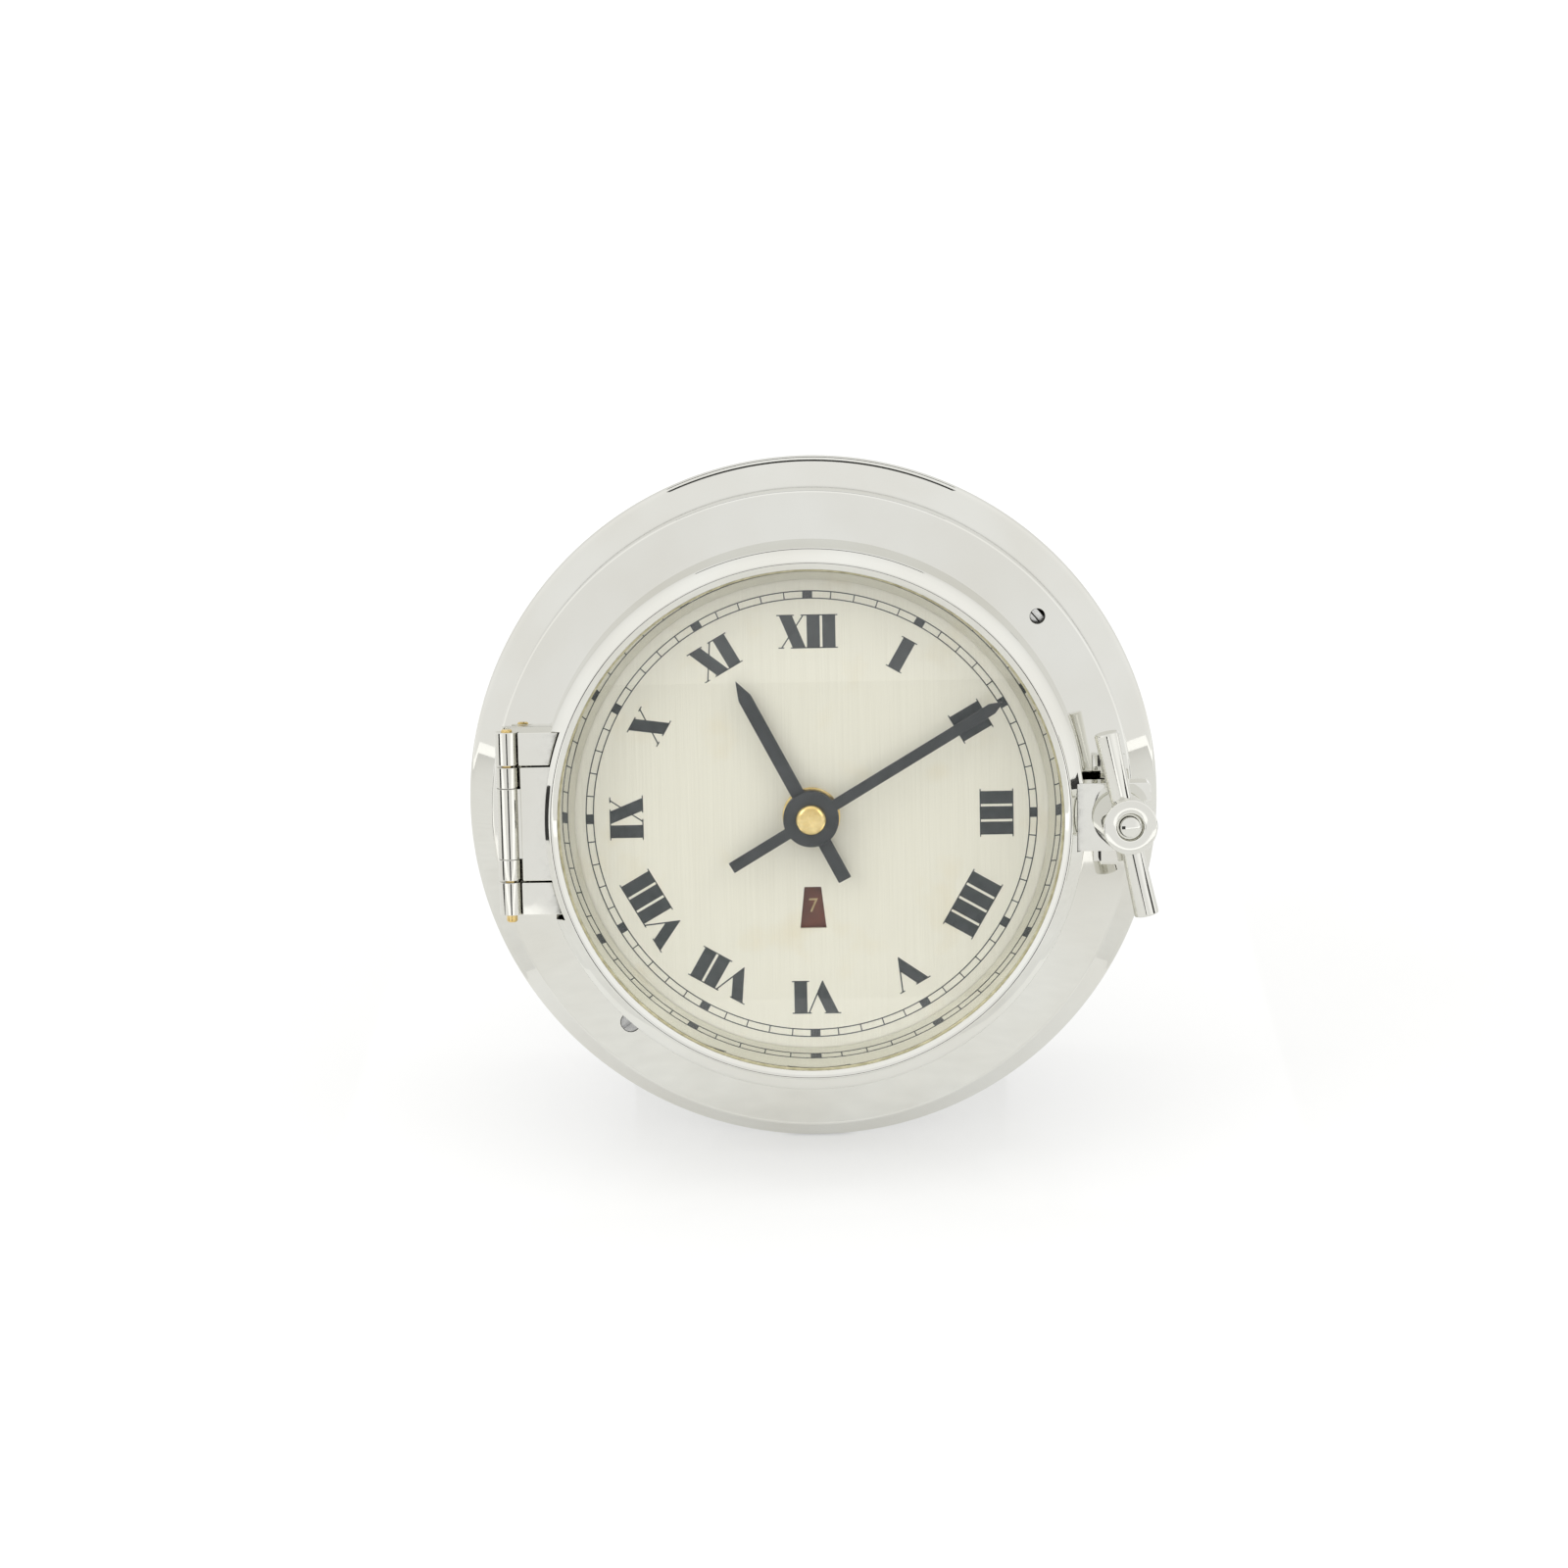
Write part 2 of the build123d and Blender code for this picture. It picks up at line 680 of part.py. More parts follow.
with BuildPart() as minute_arbor:
    with BuildSketch(level(arbor_end)):
        Circle(arbor_r)
    extrude(amount=nut_low + 0.8 - arbor_end)
    # Cannon pinion, with a tooth towards the minute wheel
    with BuildSketch(level(-2.6)):
        with BuildLine():
            gear_outline(cannon_teeth, module_fast, 90)
        make_face()
    extrude(amount=1.4)

with BuildPart() as minute_wheel:
    # The wheel has a gap towards the cannon pinion, the pinion a tooth towards the hour wheel
    wheel_plane = Plane(origin=at(0, post_y, -2.4), x_dir=(1, 0, 0), z_dir=front)
    with BuildSketch(wheel_plane):
        with BuildLine():
            gear_outline(wheel_teeth, module_fast, -90 + 180 / wheel_teeth)
        make_face()
    extrude(amount=0.8)
    with BuildSketch(wheel_plane.offset(0.8)):
        with BuildLine():
            gear_outline(pinion_teeth, module_slow, -90)
        make_face()
    extrude(amount=2.2)
    with BuildSketch(wheel_plane):
        Circle(post_r + running)
    extrude(amount=3.0, mode=Mode.SUBTRACT)

with BuildPart() as hour_wheel:
    with BuildSketch(level(-0.4)):
        with BuildLine():
            gear_outline(hour_teeth, module_slow, 90 + 180 / hour_teeth)
        make_face()
    extrude(amount=0.8)
    with BuildSketch(level(-0.4)):
        Circle(pipe_r)
    extrude(amount=hour_hand_w + hand_thickness + 0.4)
    with BuildSketch(level(-0.4)):
        Circle(arbor_r + running)
    extrude(amount=12, mode=Mode.SUBTRACT)

with BuildPart() as date_guide:
    with BuildSketch(level(-front_wall)):
        Circle(14.0)
        Circle(date_guide_bore_r, mode=Mode.SUBTRACT)
    extrude(amount=front_wall + 1.2)
    with BuildSketch(level(1.2)):
        Circle(date_guide_r)
        Circle(date_guide_bore_r, mode=Mode.SUBTRACT)
    extrude(amount=0.7)

date_ring = plain_ring(22.0, date_guide_r + running, date_ring_back, date_ring_front)

with BuildPart() as setting_knob:
    with BuildSketch(level(-28.5)):
        Circle(6.0)
        with PolarLocations(6.1, 24):
            Circle(0.35, mode=Mode.SUBTRACT)
    extrude(amount=5.0)
    with BuildSketch(level(arbor_end)):
        Circle(arbor_r)
    extrude(amount=6, mode=Mode.SUBTRACT)

coil_y, coil_w = -11.0, -12.5
coil_half, cheek, core_r, core_half = 11.0, 1.2, 1.6, 14.0
with BuildPart() as coil_core:
    with BuildSketch(cylinder_plane(-core_half, coil_y, coil_w, Vector(1, 0, 0))):
        Circle(core_r)
    extrude(amount=2 * core_half)

with BuildPart() as drive_coil:
    with BuildSketch(cylinder_plane(-coil_half, coil_y, coil_w, Vector(1, 0, 0))):
        Circle(5.0)
        Circle(core_r, mode=Mode.SUBTRACT)
    extrude(amount=2 * coil_half)

with BuildPart() as coil_cheeks:
    for x in (-coil_half - cheek, coil_half):
        with BuildSketch(cylinder_plane(x, coil_y, coil_w, Vector(1, 0, 0))):
            Circle(5.9)
            Circle(core_r, mode=Mode.SUBTRACT)
        extrude(amount=cheek)

battery_y, battery_w, battery_half = -19.0, -34.0, 25.0
with BuildPart() as battery:
    with BuildSketch(cylinder_plane(-battery_half, battery_y, battery_w, Vector(1, 0, 0))):
        Circle(7.0)
    extrude(amount=2 * battery_half - 1)
    with BuildSketch(cylinder_plane(battery_half - 1, battery_y, battery_w, Vector(1, 0, 0))):
        Circle(2.7)
    extrude(amount=1)

with BuildPart() as battery_contacts:
    for x in (-battery_half - 0.5, battery_half):
        with BuildSketch(cylinder_plane(x, battery_y, battery_w, Vector(1, 0, 0))):
            Circle(4.5)
        extrude(amount=0.5)

with BuildPart() as battery_tray:
    with BuildSketch(level(-26.6)):
        with Locations((0, battery_y)):
            Rectangle(2 * battery_half + 3, 15)
    extrude(amount=1.6)
    with BuildSketch(level(-41.0)):
        for x in (-battery_half - 1.0, battery_half + 1.0):
            with Locations((x, battery_y)):
                Rectangle(1.0, 15)
    extrude(amount=16)
    with BuildSketch(level(-25.0)):
        with Locations((-8, battery_y), (8, battery_y)):
            Circle(2.5)
    extrude(amount=25.0 + back_plate_back)

pieces = {
    "frame": frame,
    "frame_screw": frame_screw,
    "door_seal": door_seal,
    "hinge_bracket": hinge_bracket,
    "hinge_pin": hinge_pin,
    "door_hinge_leaf": door_hinge_leaf,
    "hinge_bushes": hinge_bushes,
    "door_ring": door_ring,
    "door_glass": door_glass,
    "glass_gasket": glass_gasket,
    "glass_retainer": glass_retainer,
    "rehaut": rehaut,
    "door_lug": door_lug,
    "clamp_bracket": clamp_bracket,
    "clamp_washer": clamp_washer,
    "clamp_boss": clamp_boss,
    "clamp_spindle": clamp_spindle,
    "clamp_arms": clamp_arms,
    "case_drum": case_drum,
    "front_ring": front_ring,
    "rear_ring": rear_ring,
    "back_cover": back_cover,
    "back_cover_screws": back_cover_screws,
    "rear_feet": rear_feet,
    "foot_pads": foot_pads,
    "foot_screws": foot_screws,
    "dial": dial,
    "dial_washer": dial_washer,
    "minute_hand": minute_hand,
    "hour_hand": hour_hand,
    "hand_nut": hand_nut,
    "movement_front_plate": movement_front_plate,
    "plate_screws": plate_screws,
    "movement_pillars": movement_pillars,
    "movement_back_plate": movement_back_plate,
    "pillar_screws": pillar_screws,
    "centre_bush": centre_bush,
    "minute_wheel_post": minute_wheel_post,
    "minute_arbor": minute_arbor,
    "minute_wheel": minute_wheel,
    "hour_wheel": hour_wheel,
    "date_guide": date_guide,
    "date_ring": date_ring,
    "setting_knob": setting_knob,
    "coil_core": coil_core,
    "drive_coil": drive_coil,
    "coil_cheeks": coil_cheeks,
    "battery": battery,
    "battery_contacts": battery_contacts,
    "battery_tray": battery_tray,
}
for label, piece in pieces.items():
    piece.part.label = label
    export_step(piece.part, f"parts/{label}.step")
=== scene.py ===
import json
import math

import bmesh
import bpy
from mathutils import Matrix, Vector


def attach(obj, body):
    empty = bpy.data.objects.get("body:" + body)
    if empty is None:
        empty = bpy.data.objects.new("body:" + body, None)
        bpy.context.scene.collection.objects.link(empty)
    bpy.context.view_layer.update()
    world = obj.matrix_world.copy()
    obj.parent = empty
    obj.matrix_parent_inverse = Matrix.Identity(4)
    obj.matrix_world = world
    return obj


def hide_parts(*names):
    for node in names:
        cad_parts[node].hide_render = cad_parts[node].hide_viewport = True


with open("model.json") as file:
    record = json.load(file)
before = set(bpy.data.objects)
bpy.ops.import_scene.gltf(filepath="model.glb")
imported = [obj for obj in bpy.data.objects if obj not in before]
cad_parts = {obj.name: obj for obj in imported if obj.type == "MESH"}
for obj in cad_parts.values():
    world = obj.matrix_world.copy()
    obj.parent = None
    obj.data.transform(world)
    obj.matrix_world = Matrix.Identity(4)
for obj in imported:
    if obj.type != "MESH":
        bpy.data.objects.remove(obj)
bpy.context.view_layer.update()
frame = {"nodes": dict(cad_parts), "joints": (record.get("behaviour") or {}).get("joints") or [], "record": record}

# A porthole-shaped desk clock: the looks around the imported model. Sizes below are millimetres in the
# dial's own frame, x right, y up the dial, w along the dial axis towards the viewer from the door seat.
MM = 0.001
ROUND = 256                   # segments round the large rings
FINE = 64                     # segments round the small rods

joints = {joint["name"]: joint for joint in frame["joints"]}
dial_turn = joints["minute_hand_turn"]
FRONT = -Vector(dial_turn["axis"]).normalized()
RIGHT = Vector((1, 0, 0))
UP = FRONT.cross(RIGHT)
ORIGIN = Vector(dial_turn["pos_m"])
DIAL = Matrix.Translation(ORIGIN) @ Matrix((RIGHT, UP, FRONT)).transposed().to_4x4() @ Matrix.Scale(MM, 4)

clamp_turn = joints["clamp_turn"]
CLAMP_FRONT = Vector(clamp_turn["axis"]).normalized()
CLAMP_RIGHT = UP.cross(CLAMP_FRONT)
CLAMP = (
    Matrix.Translation(Vector(clamp_turn["pos_m"]))
    @ Matrix((CLAMP_RIGHT, UP, CLAMP_FRONT)).transposed().to_4x4()
    @ Matrix.Scale(MM, 4)
)


# ---------------------------------------------------------------- node materials

def new_material(name):
    """A material with only a Principled BSDF, and the tools to wire it."""
    material = bpy.data.materials.new(name)
    material.use_nodes = True
    tree = material.node_tree
    return material, tree, tree.nodes["Principled BSDF"]


def noise(tree, scale, stretch=(1, 1, 1), detail=4.0, turn=(0, 0, 0)):
    """Noise over the object's own coordinates, in metres, stretched along its axes."""
    place = tree.nodes.new("ShaderNodeTexCoord")
    mapping = tree.nodes.new("ShaderNodeMapping")
    mapping.inputs["Scale"].default_value = stretch
    mapping.inputs["Rotation"].default_value = turn
    texture = tree.nodes.new("ShaderNodeTexNoise")
    texture.inputs["Scale"].default_value = scale
    texture.inputs["Detail"].default_value = detail
    tree.links.new(place.outputs["Object"], mapping.inputs["Vector"])
    tree.links.new(mapping.outputs["Vector"], texture.inputs["Vector"])
    return texture.outputs["Fac"]


def ramp(tree, factor, low, high, start=0.3, end=0.7):
    """Two colours blended over a stretch of the factor."""
    node = tree.nodes.new("ShaderNodeValToRGB")
    node.color_ramp.elements[0].position = start
    node.color_ramp.elements[0].color = (*low, 1)
    node.color_ramp.elements[1].position = end
    node.color_ramp.elements[1].color = (*high, 1)
    tree.links.new(factor, node.inputs["Fac"])
    return node.outputs["Color"]


def spread(tree, factor, low, high):
    """The factor's middle range mapped onto low to high."""
    node = tree.nodes.new("ShaderNodeMapRange")
    node.inputs["From Min"].default_value = 0.3
    node.inputs["From Max"].default_value = 0.7
    node.inputs["To Min"].default_value = low
    node.inputs["To Max"].default_value = high
    tree.links.new(factor, node.inputs["Value"])
    return node.outputs["Result"]


def bump(tree, shader, factor, strength, distance):
    """Fine relief from a factor, its distance in metres."""
    node = tree.nodes.new("ShaderNodeBump")
    node.inputs["Strength"].default_value = strength
    node.inputs["Distance"].default_value = distance
    tree.links.new(factor, node.inputs["Height"])
    tree.links.new(node.outputs["Normal"], shader.inputs["Normal"])


def darken_crevices(tree, colour, reach, depth):
    """The colour darkened where other surfaces stand close by: painted shade in the crevices."""
    crevice = tree.nodes.new("ShaderNodeAmbientOcclusion")
    crevice.samples = 8
    crevice.inputs["Distance"].default_value = reach
    shade = tree.nodes.new("ShaderNodeMapRange")
    shade.inputs["From Min"].default_value = 0.22
    shade.inputs["From Max"].default_value = 0.58
    shade.inputs["To Min"].default_value = depth
    shade.inputs["To Max"].default_value = 1.0
    tree.links.new(crevice.outputs["AO"], shade.inputs["Value"])
    blend = tree.nodes.new("ShaderNodeVectorMath")
    blend.operation = "SCALE"
    tree.links.new(colour, blend.inputs[0])
    tree.links.new(shade.outputs["Result"], blend.inputs["Scale"])
    return blend.outputs["Vector"]


def surface(name, low, high, rough, metallic=0.0, patch=120, grain=2500, relief=0.05,
            stretch=(1, 1, 1), turn=(0, 0, 0), crevice_shade=None):
    """A surface with broad colour patches, and fine grain in its roughness and relief."""
    material, tree, shader = new_material(name)
    colour = ramp(tree, noise(tree, patch, detail=3.0), low, high)
    # Painted shade: the colour darkens where other surfaces stand close by
    if crevice_shade:
        colour = darken_crevices(tree, colour, *crevice_shade)
    tree.links.new(colour, shader.inputs["Base Color"])
    fine = noise(tree, grain, stretch, turn=turn)
    tree.links.new(spread(tree, fine, *rough), shader.inputs["Roughness"])
    shader.inputs["Metallic"].default_value = metallic
    bump(tree, shader, fine, relief, 0.00002)
    return material


# Plated metal, with painted shade darkening its crevices
PLATED = surface("plated_metal", (0.715, 0.705, 0.650), (0.765, 0.765, 0.722), (0.02, 0.05), 1.0,
                 patch=45, grain=900, relief=0.006, crevice_shade=(0.0005, 0.06))
# Near-black painted shade for the inside of the open hole
HOLE_SHADE = surface("bore_painted_shade", (0.02, 0.02, 0.018), (0.06, 0.055, 0.045), (0.5, 0.7), 0.3,
                  patch=700, grain=4000, relief=0.2)
CASE = surface("case_metal", (0.80, 0.80, 0.78), (0.86, 0.86, 0.84), (0.18, 0.28), 1.0,
               patch=60, grain=700, relief=0.05, stretch=(1, 14, 1))
SCREW = surface("screw_steel", (0.42, 0.42, 0.42), (0.56, 0.56, 0.55), (0.22, 0.4), 1.0,
                patch=800, grain=5000, relief=0.1)
BRASS = surface("pin_brass", (0.72, 0.52, 0.20), (0.86, 0.68, 0.34), (0.14, 0.28), 1.0,
                patch=500, grain=4000, relief=0.08)
MOVEMENT = surface("movement_brass", (0.62, 0.48, 0.24), (0.76, 0.62, 0.36), (0.25, 0.4), 1.0,
                   patch=150, grain=1500, relief=0.08, stretch=(8, 1, 1))
RUBBER = surface("black_rubber", (0.02, 0.02, 0.02), (0.045, 0.045, 0.045), (0.6, 0.8),
                 patch=400, grain=3500, relief=0.3)
GASKET = surface("olive_gasket", (0.33, 0.30, 0.17), (0.55, 0.51, 0.33), (0.35, 0.6),
                 patch=700, grain=4000, relief=0.25)
BLACK = surface("hand_black", (0.018, 0.021, 0.024), (0.035, 0.038, 0.042), (0.32, 0.48),
                patch=300, grain=3000, relief=0.05)
INK = surface("dial_ink", (0.022, 0.027, 0.030), (0.045, 0.052, 0.055), (0.4, 0.6),
              patch=900, grain=6000, relief=0.08)
MAROON = surface("date_maroon", (0.10, 0.028, 0.018), (0.19, 0.055, 0.03), (0.3, 0.5),
                 patch=260, grain=3000, relief=0.08)
GILT = surface("figure_gilt", (0.42, 0.31, 0.15), (0.60, 0.47, 0.26), (0.35, 0.5), 0.3,
               patch=800, grain=5000, relief=0.05)
COPPER = surface("coil_copper", (0.45, 0.16, 0.07), (0.66, 0.30, 0.15), (0.25, 0.4), 0.9,
                 patch=600, grain=5000, relief=0.5, stretch=(1, 0.05, 0.05))
IRON = surface("core_iron", (0.30, 0.30, 0.31), (0.42, 0.42, 0.43), (0.35, 0.5), 1.0)
PLASTIC = surface("plastic_black", (0.02, 0.02, 0.02), (0.05, 0.05, 0.05), (0.4, 0.6),
                  patch=300, grain=2600, relief=0.2)
JACKET = surface("battery_jacket", (0.12, 0.14, 0.16), (0.22, 0.24, 0.27), (0.25, 0.35))
CONTACT = surface("contact_steel", (0.58, 0.58, 0.56), (0.72, 0.72, 0.70), (0.2, 0.35), 1.0)


def dial_material():
    """Silvered dial: fine upright brushing and a few faint warm stains."""
    material, tree, shader = new_material("dial_silver")
    brush = noise(tree, 1.0, (5200, 60, 60), 6.0)
    stain = noise(tree, 90, detail=5.0)
    tone = ramp(tree, brush, (0.83, 0.79, 0.675), (0.90, 0.862, 0.75), 0.25, 0.75)
    warm = ramp(tree, stain, (1, 1, 1), (0.95, 0.90, 0.80), 0.58, 0.80)
    blend = tree.nodes.new("ShaderNodeMix")
    blend.data_type = "RGBA"
    blend.blend_type = "MULTIPLY"
    blend.inputs["Factor"].default_value = 0.8
    tree.links.new(tone, blend.inputs["A"])
    tree.links.new(warm, blend.inputs["B"])
    tree.links.new(blend.outputs["Result"], shader.inputs["Base Color"])
    tree.links.new(spread(tree, brush, 0.38, 0.52), shader.inputs["Roughness"])
    shader.inputs["Metallic"].default_value = 0.25
    bump(tree, shader, brush, 0.12, 0.00003)
    return material


def glass_material():
    """Clear glass that lets the light through to the dial."""
    material, tree, shader = new_material("door_glass")
    shader.inputs["Base Color"].default_value = (0.985, 0.995, 0.985, 1)
    shader.inputs["Transmission Weight"].default_value = 1.0
    shader.inputs["IOR"].default_value = 1.46
    haze = noise(tree, 60, detail=6.0)
    tree.links.new(spread(tree, haze, 0.0, 0.012), shader.inputs["Roughness"])
    output = tree.nodes["Material Output"]
    path = tree.nodes.new("ShaderNodeLightPath")
    through = tree.nodes.new("ShaderNodeBsdfTransparent")
    through.inputs["Color"].default_value = (0.97, 0.985, 0.97, 1)
    mix = tree.nodes.new("ShaderNodeMixShader")
    tree.links.new(path.outputs["Is Shadow Ray"], mix.inputs[0])
    tree.links.new(shader.outputs["BSDF"], mix.inputs[1])
    tree.links.new(through.outputs["BSDF"], mix.inputs[2])
    tree.links.new(mix.outputs["Shader"], output.inputs["Surface"])
    return material


DIAL_SILVER = dial_material()
GLASS = glass_material()

SLOTS = {
    "plated_metal": PLATED, "case_metal": CASE, "screw_steel": SCREW, "pin_brass": BRASS,
    "movement_brass": MOVEMENT, "rubber": RUBBER, "gasket": GASKET, "glass": GLASS,
    "dial_silver": DIAL_SILVER, "hand_black": BLACK, "date_maroon": MAROON,
    "coil_copper": COPPER, "core_iron": IRON, "plastic_black": PLASTIC,
    "battery_jacket": JACKET, "contact_steel": CONTACT,
}
node_slots = {part["node"]: part["material_slot"] for part in frame["record"]["subparts"]}
for node, cad_object in frame["nodes"].items():
    cad_object.data.materials.clear()
    cad_object.data.materials.append(SLOTS[node_slots[node]])


# ---------------------------------------------------------------- mesh tools

def make(name, bm, place, material, sharp=28.0):
    """A smooth-shaded object from a bmesh built in millimetres in a local frame."""
    bmesh.ops.recalc_face_normals(bm, faces=bm.faces)
    mesh = bpy.data.meshes.new(name)
    bm.to_mesh(mesh)
    bm.free()
    mesh.transform(place)
    for polygon in mesh.polygons:
        polygon.use_smooth = True
    mesh.set_sharp_from_angle(angle=math.radians(sharp))
    mesh.materials.append(material)
    piece = bpy.data.objects.new(name, mesh)
    bpy.context.scene.collection.objects.link(piece)
    return piece


def settle_normals(piece):
    """Keeps wide faces evenly lit right up to their small rounded edges."""
    weighted = piece.modifiers.new("normals", "WEIGHTED_NORMAL")
    weighted.weight = 100
    weighted.keep_sharp = True
    bpy.context.view_layer.update()
    shaped = piece.evaluated_get(bpy.context.evaluated_depsgraph_get())
    mesh = bpy.data.meshes.new_from_object(shaped)
    piece.modifiers.clear()
    piece.data = mesh


def belong(piece, body, *nodes, slot=None):
    """The piece rides on a body, and stands for the CAD nodes it is named with.

    Printed and other added pieces name their slot instead, and keep their normals as made.
    """
    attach(piece, body)
    if nodes:
        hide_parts(*nodes)
    if piece.type == "MESH" and slot is None:
        settle_normals(piece)
    return piece


def bake(piece, sharp=28.0):
    """Applies the piece's modifiers to its mesh."""
    bpy.context.view_layer.update()
    shaped = piece.evaluated_get(bpy.context.evaluated_depsgraph_get())
    mesh = bpy.data.meshes.new_from_object(shaped)
    piece.modifiers.clear()
    piece.data = mesh
    for polygon in mesh.polygons:
        polygon.use_smooth = True
    mesh.set_sharp_from_angle(angle=math.radians(sharp))
    return piece


def soften(piece, width, segments=3, angle=30.0):
    """Rounds the piece's edges that are sharper than an angle."""
    bevel = piece.modifiers.new("edges", "BEVEL")
    bevel.width = width * MM
    bevel.segments = segments
    bevel.limit_method = "ANGLE"
    bevel.angle_limit = math.radians(angle)
    bevel.use_clamp_overlap = True
    return bake(piece)


def cut(piece, *cutters):
    """Takes the cutters out of the piece."""
    for cutter in cutters:
        modifier = piece.modifiers.new("cut", "BOOLEAN")
        modifier.operation = "DIFFERENCE"
        modifier.solver = "EXACT"
        modifier.object = cutter
    bake(piece)
    for cutter in cutters:
        bpy.data.objects.remove(cutter)
    return piece


def eased(points, radius, steps=4):
    """A closed outline with every corner rounded to the radius, or less on a short side."""
    outline = []
    count = len(points)
    for i, corner in enumerate(points):
        here = Vector(corner)
        before = Vector(points[i - 1]) - here
        after = Vector(points[(i + 1) % count]) - here
        reach = min(radius, 0.45 * before.length, 0.45 * after.length)
        start = here + before.normalized() * reach
        end = here + after.normalized() * reach
        for step in range(steps + 1):
            t = step / steps
            outline.append(tuple(start * (1 - t) ** 2 + here * 2 * t * (1 - t) + end * t * t))
    return outline


def lathe(name, outline, material, place=DIAL, segments=ROUND, sharp=28.0):
    """A closed (radius, height) outline turned about the local z axis."""
    bm = bmesh.new()
    rings = []
    for i in range(segments):
        angle = 2 * math.pi * i / segments
        rings.append([bm.verts.new((r * math.cos(angle), r * math.sin(angle), h)) for r, h in outline])
    for ring, following in zip(rings, rings[1:] + rings[:1]):
        for k in range(len(outline)):
            n = (k + 1) % len(outline)
            bm.faces.new((ring[k], following[k], following[n], ring[n]))
    return make(name, bm, place, material, sharp)


def knob(name, outline, material, place=DIAL, segments=FINE, sharp=28.0):
    """A solid turned from an open outline that starts and ends on the axis."""
    bm = bmesh.new()
    first = bm.verts.new((0, 0, outline[0][1]))
    last = bm.verts.new((0, 0, outline[-1][1]))
    middle = outline[1:-1]
    rings = []
    for i in range(segments):
        angle = 2 * math.pi * i / segments
        rings.append([bm.verts.new((r * math.cos(angle), r * math.sin(angle), h)) for r, h in middle])
    for ring, following in zip(rings, rings[1:] + rings[:1]):
        bm.faces.new((first, following[0], ring[0]))
        for k in range(len(middle) - 1):
            bm.faces.new((ring[k], following[k], following[k + 1], ring[k + 1]))
        bm.faces.new((ring[-1], following[-1], last))
    return make(name, bm, place, material, sharp)


def prism(name, outline, low, high, material, place=DIAL):
    """A flat outline raised from low to high along the local z axis."""
    bm = bmesh.new()
    bottom = [bm.verts.new((x, y, low)) for x, y in outline]
    top = [bm.verts.new((x, y, high)) for x, y in outline]
    bm.faces.new(list(reversed(bottom)))
    bm.faces.new(top)
    for i in range(len(outline)):
        n = (i + 1) % len(outline)
        bm.faces.new((bottom[i], bottom[n], top[n], top[i]))
    return make(name, bm, place, material)


def join(name, *pieces):
    """Several loose pieces as one object with one mesh."""
    bm = bmesh.new()
    for piece in pieces:
        bm.from_mesh(piece.data)
    mesh = bpy.data.meshes.new(name)
    bm.to_mesh(mesh)
    bm.free()
    mesh.materials.append(pieces[0].data.materials[0])
    whole = bpy.data.objects.new(name, mesh)
    bpy.context.scene.collection.objects.link(whole)
    for piece in pieces:
        bpy.data.objects.remove(piece)
    for polygon in mesh.polygons:
        polygon.use_smooth = True
    mesh.set_sharp_from_angle(angle=math.radians(28))
    return whole


def arc(radius, start, end, steps):
    """Points on a circle about the dial axis, between two angles in degrees."""
    points = []
    for i in range(steps + 1):
        angle = math.radians(start + (end - start) * i / steps)
        points.append((radius * math.cos(angle), radius * math.sin(angle)))
    return points


def tilt_to(direction, spot):
    """A local frame in millimetres at a dial point, its z axis along a dial direction."""
    turn = Vector(direction).to_track_quat("Z", "Y").to_matrix().to_4x4()
    return DIAL @ Matrix.Translation(Vector(spot)) @ turn


# ---------------------------------------------------------------- frame

FLANGE_R, FLANGE_BACK = 63.0, -17.2
BODY_R, SEAT_R = 57.7, 49.2
DRUM_R, DRUM_BACK = 54.4, -58.0
HOLE = (53.5, 40.3, 1.4)      # radius of the spot, angle, radius of the hole
SCREW_SPOT = (50.6, 228.5, 1.85)
FACE_SLOPE, EDGE_ROUND = 6.5, 0.55          # degrees, mm
HINGE_RECESS = (-55.2, -49.4, -16.4, 16.4)  # left, right, low and high end
CLAMP_RECESS = (50.4, 56.2, -9.6, 9.6)
RECESS_W = -1.2
edge_w = -(BODY_R - 0.4 - SEAT_R) * math.tan(math.radians(FACE_SLOPE))

frame_outline = eased([
    (41.0, -3.5), (41.0, 2.4), (44.0, 2.4), (44.0, 0.0), (46.9, 0.0), (46.9, -1.2), (48.3, -1.2),
    (48.3, 0.0), (SEAT_R, 0.0), (BODY_R, edge_w - 0.05), (BODY_R, -9.3), (FLANGE_R - 0.8, -14.8),
    (FLANGE_R, -15.5), (FLANGE_R, FLANGE_BACK), (DRUM_R, FLANGE_BACK), (DRUM_R, -3.5),
], EDGE_ROUND)
frame_body = lathe("frame_casting", frame_outline, PLATED)


def spot(polar):
    """The dial x and y of a radius and an angle."""
    radius, angle = polar[0], math.radians(polar[1])
    return radius * math.cos(angle), radius * math.sin(angle)


def drill(polar, low, high):
    """A round cutter along the dial axis at a spot."""
    x, y = spot(polar)
    r = polar[2]
    place = DIAL @ Matrix.Translation((x, y, 0))
    return knob("drill", [(0, low), (r, low), (r, high), (0, high)], PLATED, place, 48)


def block(x0, x1, y0, y1, low, high):
    return prism("block", [(x0, y0), (x1, y0), (x1, y1), (x0, y1)], low, high, PLATED)


cut(
    frame_body,
    drill(HOLE, -8, 4),
    drill(SCREW_SPOT, -1.6, 4),
    block(*HINGE_RECESS, RECESS_W, 4),
    block(*CLAMP_RECESS, RECESS_W, 4),
)
belong(frame_body, "case", "frame")

# A near-black lining in the open hole: painted shade, so the hole looks dark inside
hx, hy = spot(HOLE)
bore = knob(
    "frame_hole_painted_shade",
    [(0, -7.9), (1.39, -7.9), (1.39, -1.2), (1.27, -1.2), (1.27, -7.5), (0, -7.5)],
    HOLE_SHADE, DIAL @ Matrix.Translation((hx, hy, 0)),
)
belong(bore, "case", slot="plated_metal")
